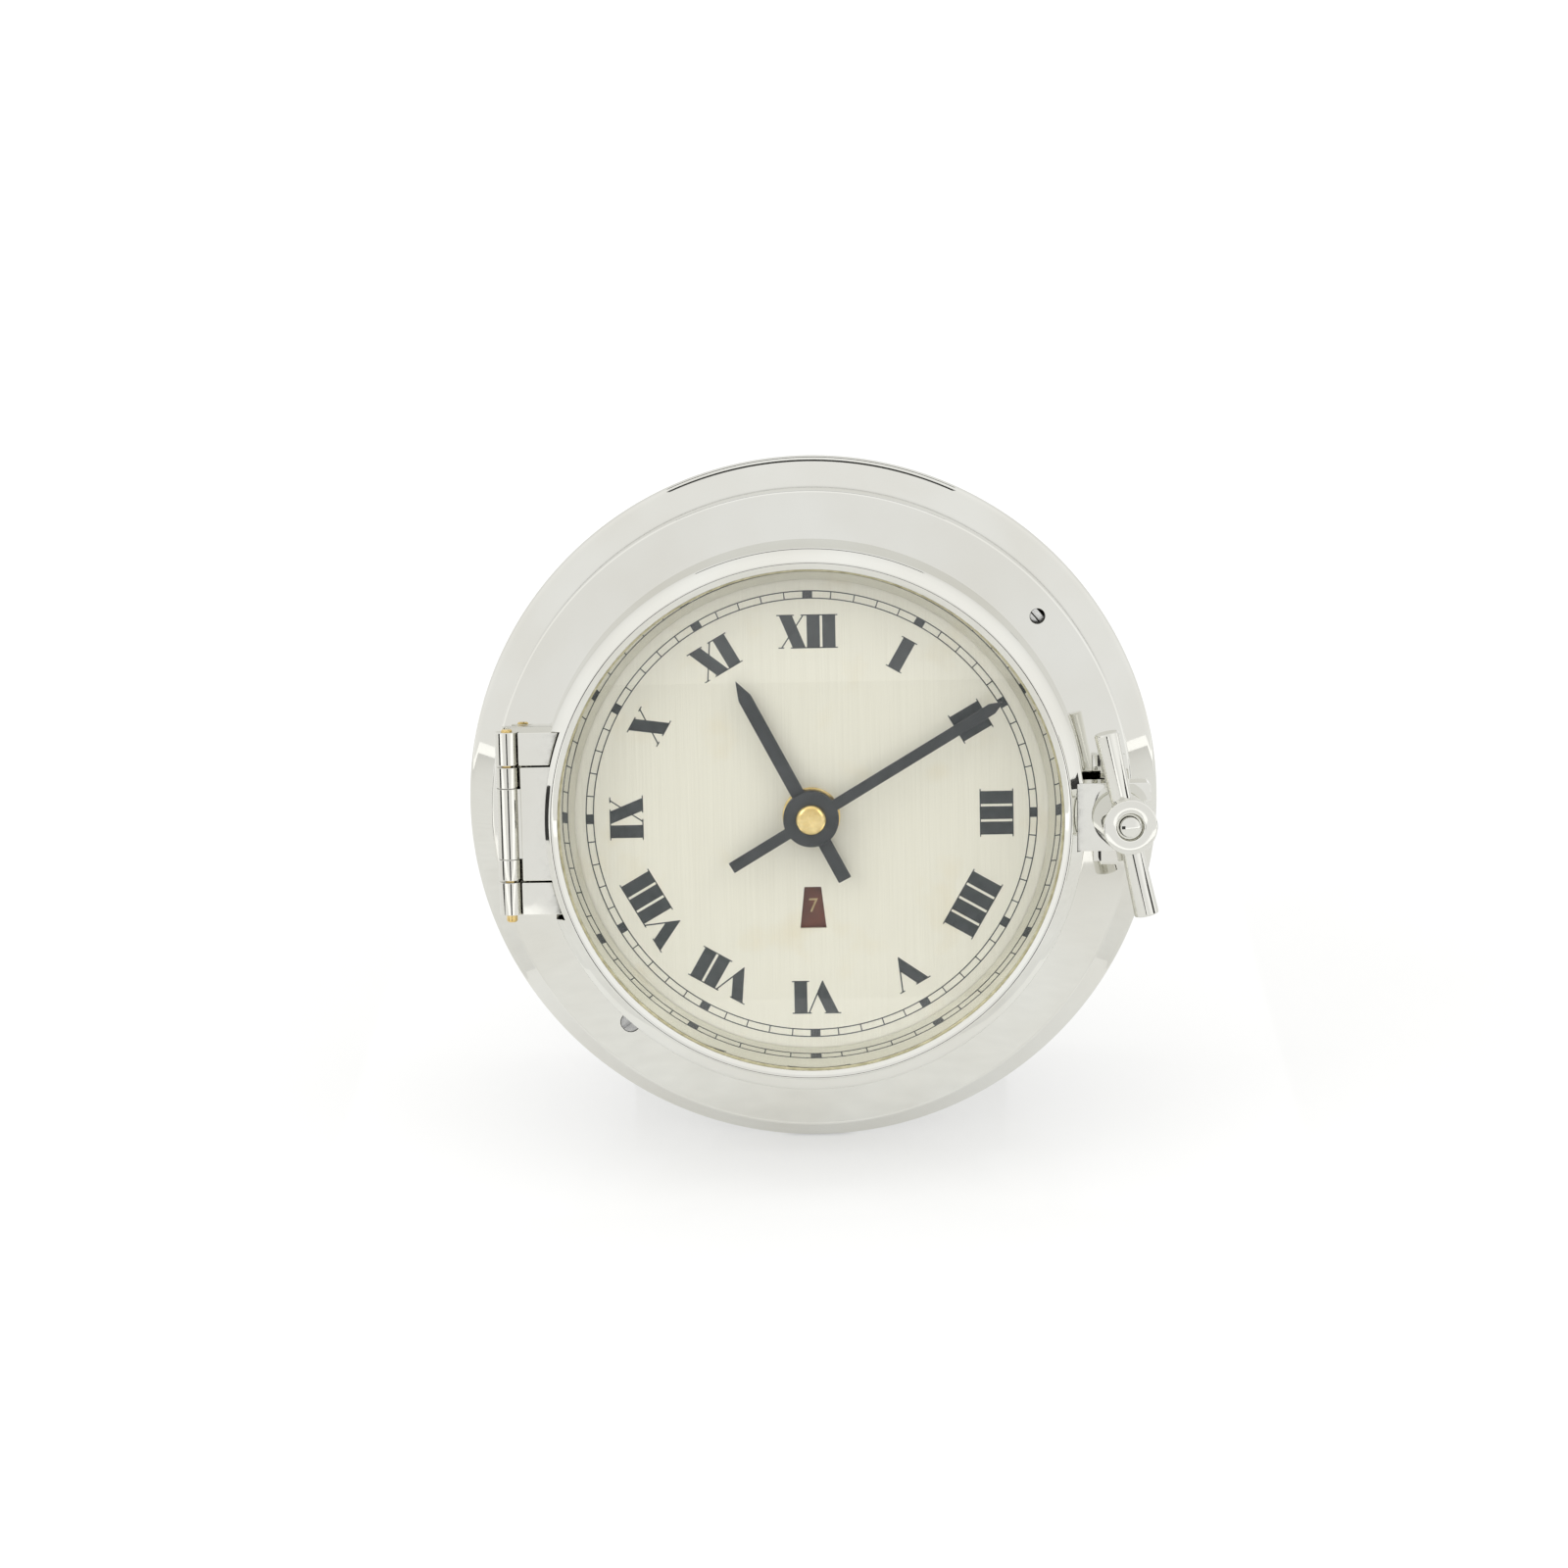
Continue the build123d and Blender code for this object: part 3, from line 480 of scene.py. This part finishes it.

# Slotted screw
SCREW_TURN = 35.0             # degrees of the slot from level
sx, sy = spot(SCREW_SPOT)
screw_place = DIAL @ Matrix.Translation((sx, sy, 0)) @ Matrix.Rotation(math.radians(SCREW_TURN), 4, "Z")
screw = knob(
    "frame_screw_head",
    [(0, -6.5), (1.25, -6.5), (1.25, -1.6), (1.83, -1.6), (1.83, -0.45), (1.68, -0.32), (0, -0.26)],
    SCREW, screw_place,
)
cut(screw, prism("slot", [(-3, -0.3), (3, -0.3), (3, 0.3), (-3, 0.3)], -0.8, 3, SCREW, screw_place))
belong(screw, "case", "frame_screw")

# ---------------------------------------------------------------- case

drum = lathe(
    "case_drum_shell",
    eased([(DRUM_R - 1.5, DRUM_BACK), (DRUM_R, DRUM_BACK), (DRUM_R, -3.5), (DRUM_R - 1.5, -3.5)], 0.3),
    CASE,
)
belong(drum, "case", "case_drum")
cover = knob(
    "back_cover_disc",
    [(0, -59.5), (40, -59.5), (44.6, -59.5), (45.0, -59.1), (45.8, -59.1), (46.2, -59.5),
     (53.6, -59.5), (54.3, -59.2), (54.4, -58.6), (54.4, DRUM_BACK), (0, DRUM_BACK)],
    CASE, segments=ROUND, sharp=40,
)
belong(cover, "case", "back_cover")

# ---------------------------------------------------------------- door

ring_outline = eased([
    (44.7, 11.4), (46.3, 11.4), (46.3, 0.2), (49.2, 0.2), (48.5, 10.3), (47.6, 11.1),
    (46.1, 12.2), (45.6, 12.15), (44.7, 11.7),
], 0.5, 5)
door_ring = lathe("door_ring_polished", ring_outline, PLATED, sharp=40)
NOTCH_HALF, NOTCH_R = 16.8, 46.95
LUG_HALF, LUG_LOW, LUG_HIGH = 6.05, 5.9, 10.9
half_angle = math.degrees(math.asin(NOTCH_HALF / NOTCH_R))
notch = prism(
    "notch",
    arc(NOTCH_R, 180 - half_angle, 180 + half_angle, 48) + [(-60, -NOTCH_HALF), (-60, NOTCH_HALF)],
    -1, 14, PLATED,
)
cut(door_ring, notch, block(46.9, 56, -LUG_HALF, LUG_HALF, LUG_LOW, 16))
belong(door_ring, "door", "door_ring")

glass = knob(
    "door_glass_disc",
    [(0, 9.9), (46.0, 9.9), (46.2, 10.0), (46.2, 10.9), (46.0, 11.0), (0, 11.0)],
    GLASS, segments=ROUND,
)
belong(glass, "door", "door_glass")
gasket = lathe(
    "glass_gasket_band",
    [(44.35, 11.02), (46.2, 11.02), (46.2, 11.38), (44.7, 11.38), (44.42, 11.3)], GASKET,
)
belong(gasket, "door", "glass_gasket")
cone = lathe(
    "rehaut_cone",
    eased([(42.2, 3.45), (42.9, 3.45), (45.0, 9.1), (46.2, 9.1), (46.2, 9.88), (44.5, 9.88)], 0.1, 3),
    PLATED,
)
belong(cone, "door", "rehaut")

# ---------------------------------------------------------------- hinge

HINGE_X, HINGE_W, BARREL_R, LEAF = -53.7, 6.5, 2.1, 1.9
FIXED_END, FIXED_START = 16.4, 10.5         # distances from the middle of the hinge, up and down
DOOR_LEAF_END, BUSH_END, BUSH_START, SLEEVE_END = 10.2, 10.15, 6.4, 6.35
PIN_BORE, SLEEVE_BORE, PIN_R = 1.0, 1.05, 0.98
ALONG_UP = (0, 1, 0)


def barrel(name, low, high, bore, radius=BARREL_R):
    """A hinge knuckle between two heights up the dial."""
    return lathe(
        name,
        eased([(bore, low), (radius, low), (radius, high), (bore, high)], 0.12, 2),
        PLATED, tilt_to(ALONG_UP, (HINGE_X, 0, HINGE_W)), FINE,
    )


def leaf_outline(left, edge_r, low, high):
    """A leaf from a straight left side to the arc of the door ring."""
    inner = [(-math.sqrt(edge_r ** 2 - y ** 2), y)
             for y in [low + (high - low) * i / 24 for i in range(25)]]
    return [(left, high), (left, low)] + inner


def leaf(name, left, edge_r, low, high, bottom):
    piece = prism(name, leaf_outline(left, edge_r, low, high), bottom, HINGE_W + LEAF, PLATED)
    return soften(piece, 0.22)


base = soften(block(*HINGE_RECESS, RECESS_W, 0.1), 0.1, 2)
fixed = [base]
for low, high in ((FIXED_START, FIXED_END), (-FIXED_END, -FIXED_START)):
    fixed.append(leaf("leaf", -51.6, 47.35, low, high, -0.9))
    fixed.append(barrel("knuckle", low, high, PIN_BORE))
    fixed.append(block(-53.6, -51.2, low + 0.1, high - 0.1, -1.0, HINGE_W - 0.4))
belong(join("hinge_fixed_leaves", *fixed), "case", "hinge_bracket")

moving = [
    leaf("leaf", -51.4, NOTCH_R, -DOOR_LEAF_END, DOOR_LEAF_END, HINGE_W - LEAF),
    barrel("sleeve", -SLEEVE_END, SLEEVE_END, SLEEVE_BORE),
    block(-52.4, -51.0, -6.25, 6.25, HINGE_W - 1.2, HINGE_W + 1.2),
]
belong(join("hinge_door_leaf", *moving), "door", "door_hinge_leaf")
BUSH_R = 2.06
bushes = [
    barrel("bush", BUSH_START, BUSH_END, SLEEVE_BORE, BUSH_R),
    barrel("bush", -BUSH_END, -BUSH_START, SLEEVE_BORE, BUSH_R),
]
belong(join("hinge_bush_pair", *bushes), "door", "hinge_bushes")

pin = knob(
    "hinge_pin_brass",
    [(0, -17.8), (0.75, -17.8), (PIN_R, -17.55), (PIN_R, 16.6), (0.8, 16.8), (0, 16.8)],
    BRASS, tilt_to(ALONG_UP, (HINGE_X, 0, HINGE_W)),
)
belong(pin, "case", "hinge_pin")

# ---------------------------------------------------------------- clamp

LUG_LEFT, LUG_RIGHT, SLOT_HALF, SLOT_END = 46.9, 60.0, 2.75, 51.2
lug = prism(
    "door_lug_fork",
    [(LUG_LEFT, LUG_HALF), (LUG_LEFT, -LUG_HALF), (LUG_RIGHT - 0.5, -LUG_HALF),
     (LUG_RIGHT, -LUG_HALF + 0.5), (LUG_RIGHT, -SLOT_HALF), (SLOT_END, -SLOT_HALF),
     (SLOT_END, SLOT_HALF), (LUG_RIGHT, SLOT_HALF), (LUG_RIGHT, LUG_HALF - 0.5),
     (LUG_RIGHT - 0.5, LUG_HALF)],
    LUG_LOW, LUG_HIGH, PLATED,
)
belong(soften(lug, 0.18), "door", "door_lug")

BOSS_R, BOSS_LOW, BOSS_HEIGHT, ARM_HEIGHT, ARM_REACH = 4.8, 1.45, 10.6, 6.6, 16.5
ARM_TURN = 12.2               # degrees of the arms from upright
boss_top = BOSS_LOW + BOSS_HEIGHT
boss = lathe(
    "clamp_boss_polished",
    eased([(1.76, BOSS_LOW), (BOSS_R, BOSS_LOW), (BOSS_R, boss_top), (2.4, boss_top),
           (2.3, boss_top - 1.2), (1.76, boss_top - 1.2)], 0.3),
    PLATED, CLAMP, 128,
)
belong(boss, "clamp_handle", "clamp_boss")
spindle = knob(
    "clamp_spindle_rod",
    [(0, -9.4), (1.5, -9.4), (1.75, -9.15), (1.75, boss_top - 0.5), (1.68, boss_top - 0.28),
     (1.5, boss_top - 0.2), (0, boss_top - 0.2)],
    PLATED, CLAMP,
)
belong(spindle, "clamp_handle", "clamp_spindle")
washer = lathe(
    "clamp_washer_ring",
    eased([(1.82, 0.65), (4.6, 0.65), (4.6, 1.43), (1.82, 1.43)], 0.12, 2), PLATED, CLAMP, 128,
)
belong(washer, "clamp_slide", "clamp_washer")

arms = []
for turn in (ARM_TURN, ARM_TURN + 180):
    reach = Matrix.Rotation(math.radians(turn), 4, "Z") @ Matrix.Rotation(math.radians(-90), 4, "X")
    place = CLAMP @ Matrix.Translation((0, 0, BOSS_LOW + ARM_HEIGHT)) @ reach
    arms.append(knob(
        "arm",
        [(0, 4.0), (1.9, 4.0), (1.9, 4.3), (2.17, ARM_REACH - 0.35), (2.1, ARM_REACH - 0.12),
         (1.9, ARM_REACH), (0, ARM_REACH)],
        PLATED, place,
    ))
belong(join("clamp_arm_pair", *arms), "clamp_handle", "clamp_arms")

# ---------------------------------------------------------------- dial printing

DIAL_FRONT, INK_DEPTH = 3.2, 0.04
strokes = []


def ink(outline, angle=0.0, radius=0.0):
    """A printed shape, its own y axis pointing outwards at an angle clockwise from XII."""
    turn = Matrix.Rotation(math.radians(-angle), 4, "Z") @ Matrix.Translation((0, radius, DIAL_FRONT))
    strokes.append(prism("ink", outline, 0, INK_DEPTH, INK, DIAL @ turn))


def bar(x0, y0, x1, y1, width):
    """A straight stroke whose ends are level."""
    half = width / 2
    return [(x0 - half, y0), (x0 + half, y0), (x1 + half, y1), (x1 - half, y1)]


NUMERAL_LOW, NUMERAL_HIGH = 30.0, 36.0
CAP = NUMERAL_HIGH - NUMERAL_LOW
THICK, THIN, SERIF, OVERHANG = 2.3, 0.26, 0.2, 0.4
ADVANCE = {"I": 2.76, "V": 5.04, "X": 4.66}


def serif(x0, x1, y):
    """A hairline along the foot or the head of a letter."""
    low, high = (y, y + SERIF) if y < CAP / 2 else (y - SERIF, y)
    return [(x0, low), (x1, low), (x1, high), (x0, high)]


def letter(kind, x):
    """The strokes of one Roman letter centred at x."""
    half = THICK / 2
    if kind == "I":
        return [bar(x, 0, x, CAP, THICK)] + [
            serif(x - half - OVERHANG, x + half + OVERHANG, y) for y in (0, CAP)
        ]
    if kind == "V":
        return [
            [(x - 2.95, CAP), (x - 0.1, 0), (x + 0.95, 2.42), (x - 0.7, CAP)],
            bar(x + 2.5, CAP, x - 0.1, 0, THIN),
            serif(x - 3.3, x - 0.35, CAP),
            serif(x + 2.0, x + 3.0, CAP),
        ]
    return [
        bar(x - 1.23, CAP, x + 1.23, 0, THICK),
        bar(x + 2.0, CAP, x - 2.0, 0, THIN),
        serif(x - 1.23 - half - OVERHANG, x - 1.23 + half + OVERHANG, CAP),
        serif(x + 1.23 - half - OVERHANG, x + 1.23 + half + OVERHANG, 0),
        serif(x + 1.5, x + 2.5, CAP),
        serif(x - 2.5, x - 1.5, 0),
    ]


HOURS = ("XII", "I", "II", "III", "IIII", "V", "VI", "VII", "VIII", "IX", "X", "XI")
for hour, numeral in enumerate(HOURS):
    total = sum(ADVANCE[kind] for kind in numeral)
    x = -total / 2
    for kind in numeral:
        for outline in letter(kind, x + ADVANCE[kind] / 2):
            ink(outline, hour * 30, NUMERAL_LOW)
        x += ADVANCE[kind]

TRACK_IN, TRACK_OUT, HAIR = 38.9, 40.2, 0.19
for minute in range(60):
    width = 1.75 if minute % 5 == 0 else HAIR
    ink([(-width / 2, TRACK_IN), (width / 2, TRACK_IN), (width / 2, TRACK_OUT), (-width / 2, TRACK_OUT)],
        minute * 6)
for radius in (TRACK_IN, TRACK_OUT):
    strokes.append(lathe(
        "ink_circle",
        [(radius - HAIR / 2, DIAL_FRONT), (radius + HAIR / 2, DIAL_FRONT),
         (radius + HAIR / 2, DIAL_FRONT + INK_DEPTH), (radius - HAIR / 2, DIAL_FRONT + INK_DEPTH)],
        INK,
    ))
belong(join("dial_printing", *strokes), "case", slot="hand_black")

# Figures of the date ring, one of them in the window under the hands
FIGURE_R, DATE_TOP, SHOWN = 16.6, 1.8, 7


def figure(day):
    """One date figure, upright when it stands at VI."""
    curve = bpy.data.curves.new("figure", "FONT")
    curve.body = str(day)
    curve.size = 3.6 if day < 10 else 2.4
    curve.align_x = "CENTER"
    curve.align_y = "CENTER"
    curve.extrude = 0.02
    text = bpy.data.objects.new("figure", curve)
    bpy.context.scene.collection.objects.link(text)
    bpy.context.view_layer.update()
    mesh = bpy.data.meshes.new_from_object(
        text.evaluated_get(bpy.context.evaluated_depsgraph_get())
    )
    bpy.data.objects.remove(text)
    turn = Matrix.Rotation(math.radians((day - SHOWN) * 360 / 31), 4, "Z")
    mesh.transform(DIAL @ turn @ Matrix.Translation((0, -FIGURE_R, DATE_TOP + 0.02)))
    mesh.materials.clear()
    mesh.materials.append(GILT)
    piece = bpy.data.objects.new("figure", mesh)
    bpy.context.scene.collection.objects.link(piece)
    return piece


figures = join("date_figures", *[figure(day) for day in range(1, 32)])
belong(figures, "date_ring_body", slot="date_maroon")

# ---------------------------------------------------------------- hands

HUB_R = 4.95


def hand(name, turn, w, length, tail, width, bore, tip):
    """A flat hand with softened edges, its tip a long point."""
    hub = math.degrees(math.asin(width / 2 / HUB_R))
    right_side = arc(HUB_R, 90 - hub, -90 + hub, 40)
    left_side = arc(HUB_R, 270 - hub, 90 + hub, 40)
    outline = (
        [(0, length), (width / 2, length - tip)] + right_side
        + [(width / 2, -tail), (-width / 2, -tail)] + left_side + [(-width / 2, length - tip)]
    )
    place = DIAL @ Matrix.Rotation(math.radians(-turn), 4, "Z")
    blank = prism(name, outline, w, w + 0.4, BLACK, place)
    cut(blank, knob("bore", [(0, w - 1), (bore, w - 1), (bore, w + 1), (0, w + 1)], BLACK, place))
    return soften(blank, 0.09, 2, 40)


belong(hand("minute_hand_black", 59.2, 7.6, 40.0, 16.6, 2.0, 0.92, 2.4), "minute_train", "minute_hand")
belong(hand("hour_hand_black", 332.4, 6.2, 27.9, 12.6, 2.45, 1.72, 3.4), "hour_train", "hour_hand")
nut = knob(
    "hand_nut_domed",
    [(0, 8.0), (2.72, 8.0), (2.75, 8.1), (2.72, 8.45), (2.55, 8.8), (2.2, 9.08), (1.6, 9.24),
     (0.8, 9.3), (0, 9.3)],
    BRASS, sharp=40,
)
belong(nut, "minute_train", "hand_nut")
centre_washer = lathe(
    "dial_washer_brass",
    eased([(2.2, 3.2), (5.15, 3.2), (5.15, 3.8), (2.2, 3.8)], 0.18, 3), BRASS, segments=128,
)
belong(centre_washer, "case", "dial_washer")

# ---------------------------------------------------------------- floor, light and camera

FLOOR_HALF = 6.0              # metres
floor_mesh = bpy.data.meshes.new("floor")
floor_mesh.from_pydata(
    [(x * FLOOR_HALF, y * FLOOR_HALF, 0) for x, y in ((-1, -1), (1, -1), (1, 1), (-1, 1))],
    [], [(0, 1, 2, 3)],
)
floor = bpy.data.objects.new("floor", floor_mesh)
bpy.context.scene.collection.objects.link(floor)
floor_material = surface("floor_white", (0.33, 0.33, 0.325), (0.36, 0.36, 0.355), (0.08, 0.13),
                         patch=2, grain=300, relief=0.005)
# A lit acrylic table: it glows a little by itself, so nothing throws a hard shadow on it
glow = floor_material.node_tree.nodes["Principled BSDF"]
glow.inputs["Emission Color"].default_value = (1, 1, 0.995, 1)
glow.inputs["Emission Strength"].default_value = 0.52
glow.inputs["Specular IOR Level"].default_value = 0.2
floor_mesh.materials.append(floor_material)

world = bpy.data.worlds.new("studio")
bpy.context.scene.world = world
world.use_nodes = True
world_tree = world.node_tree
background = world_tree.nodes["Background"]
direction = world_tree.nodes.new("ShaderNodeTexCoord")


def world_ramp(factor, stops):
    """Grey levels over the factor's range from -1 to 1."""
    reach = world_tree.nodes.new("ShaderNodeMapRange")
    reach.inputs["From Min"].default_value = -1.0
    reach.inputs["From Max"].default_value = 1.0
    world_tree.links.new(factor, reach.inputs["Value"])
    node = world_tree.nodes.new("ShaderNodeValToRGB")
    node.color_ramp.elements.remove(node.color_ramp.elements[1])
    for i, (position, value) in enumerate(stops):
        stop = node.color_ramp.elements[0] if i == 0 else node.color_ramp.elements.new(position)
        stop.position = position
        stop.color = (value, value, value, 1)
    world_tree.links.new(reach.outputs["Result"], node.inputs["Fac"])
    return node.outputs["Color"]


def off_axis(degrees):
    """Where a direction so many degrees off the dial axis falls on a world ramp."""
    return (math.cos(math.radians(degrees)) + 1) / 2


facing = world_tree.nodes.new("ShaderNodeVectorMath")
facing.operation = "DOT_PRODUCT"
facing.inputs[1].default_value = FRONT
world_tree.links.new(direction.outputs["Generated"], facing.inputs[0])
tent = world_ramp(facing.outputs["Value"], [
    (off_axis(180), 0.90), (off_axis(140), 0.80), (off_axis(112), 0.92), (off_axis(88), 0.98),
    (off_axis(60), 1.12), (off_axis(40), 1.05), (off_axis(28), 0.92), (off_axis(0), 0.92),
])
# The lens sees the plain white sweep behind the clock
path = world_tree.nodes.new("ShaderNodeLightPath")
sweep = world_tree.nodes.new("ShaderNodeMix")
sweep.data_type = "RGBA"
sweep.inputs["B"].default_value = (1, 1, 1, 1)
world_tree.links.new(path.outputs["Is Camera Ray"], sweep.inputs["Factor"])
world_tree.links.new(tent, sweep.inputs["A"])
world_tree.links.new(sweep.outputs["Result"], background.inputs["Color"])
background.inputs["Strength"].default_value = 1.06


def flag(name, corner, across, along, material):
    """A photographer's card in metres, seen only in the polished metal and the glass."""
    start, u, v = Vector(corner), Vector(across), Vector(along)
    mesh = bpy.data.meshes.new(name)
    mesh.from_pydata([start, start + u, start + u + v, start + v], [], [(0, 1, 2, 3)])
    mesh.materials.append(material)
    card = bpy.data.objects.new(name, mesh)
    bpy.context.scene.collection.objects.link(card)
    card.visible_camera = False
    card.visible_diffuse = False
    card.visible_shadow = False
    card.visible_transmission = False


CARD_BLACK = surface("card_black", (0.02, 0.02, 0.02), (0.035, 0.035, 0.035), (0.8, 0.9), grain=200)
CARD_GREY = surface("card_grey", (0.62, 0.62, 0.61), (0.66, 0.66, 0.65), (0.8, 0.9), grain=200)
flag("flag_over", (-0.3, 0.06, 0.62), (0.6, 0, 0), (0, 0.08, 0), CARD_BLACK)
TABLE_W = 0.001               # the grey cards lie just above the floor
flag("flag_floor", (-0.8, -1.2, TABLE_W), (1.6, 0, 0), (0, 1.15, 0), CARD_GREY)
for side, name in ((-1, "flag_left"), (1, "flag_right")):
    flag(name, (side * 0.42, -0.22, 0), (0, 0.14, 0), (0, 0, 0.09), CARD_BLACK)
for side, name in ((-1, "flag_table_left"), (1, "flag_table_right")):
    flag(name, (side * 0.09, -0.05, TABLE_W), (side * 1.51, 0, 0), (0, 0.65, 0), CARD_GREY)
# The opening of the tent, below the line that the glass shows across the top of the dial
flag("flag_front", (-0.130, -1.03, 0), (0.2235, 0, 0), (0, 0, 0.152), CARD_BLACK)

centre = DIAL @ Vector((0, 0, DIAL_FRONT))


def soft_light(name, offset, size, energy):
    """A large soft light that looks at the dial."""
    data = bpy.data.lights.new(name, "AREA")
    data.shape = "RECTANGLE"
    data.size, data.size_y = size
    data.energy = energy
    lamp = bpy.data.objects.new(name, data)
    lamp.location = centre + Vector(offset)
    lamp.rotation_euler = (-Vector(offset)).to_track_quat("-Z", "Y").to_euler()
    lamp.visible_glossy = False
    bpy.context.scene.collection.objects.link(lamp)


soft_light("light_top", (0.0, 0.1, 1.3), (1.6, 1.2), 7)
soft_light("light_left", (-1.0, -0.7, 0.9), (0.7, 0.7), 4)
soft_light("light_right", (1.0, -0.7, 0.8), (0.7, 0.7), 3)

# The camera looks at the dial's centre from a little above and to the right of the dial axis
RISE, ASIDE, ROLL = math.radians(8.84), math.radians(1.03), math.radians(1.1)
DISTANCE, FOCAL, SENSOR = 0.667, 85.8, 36.0
FRAME_PX = 1600
toward = (
    RIGHT * math.sin(ASIDE) * math.cos(RISE) + UP * math.sin(RISE)
    + FRONT * math.cos(ASIDE) * math.cos(RISE)
)
camera_right = RIGHT * math.cos(ASIDE) - FRONT * math.sin(ASIDE)
camera_up = toward.cross(camera_right)
rolled_up = camera_up * math.cos(ROLL) + camera_right * math.sin(ROLL)
rolled_right = rolled_up.cross(toward)
camera_data = bpy.data.cameras.new("camera")
camera_data.sensor_width = SENSOR
camera_data.lens = FOCAL
camera_data.shift_x = -28.0 / FRAME_PX
camera_data.shift_y = 32.0 / FRAME_PX
camera = bpy.data.objects.new("camera", camera_data)
camera.matrix_world = (
    Matrix.Translation(centre + toward * DISTANCE)
    @ Matrix((rolled_right, rolled_up, toward)).transposed().to_4x4()
)
bpy.context.scene.collection.objects.link(camera)
bpy.context.scene.camera = camera
bpy.context.scene.view_settings.view_transform = "Standard"
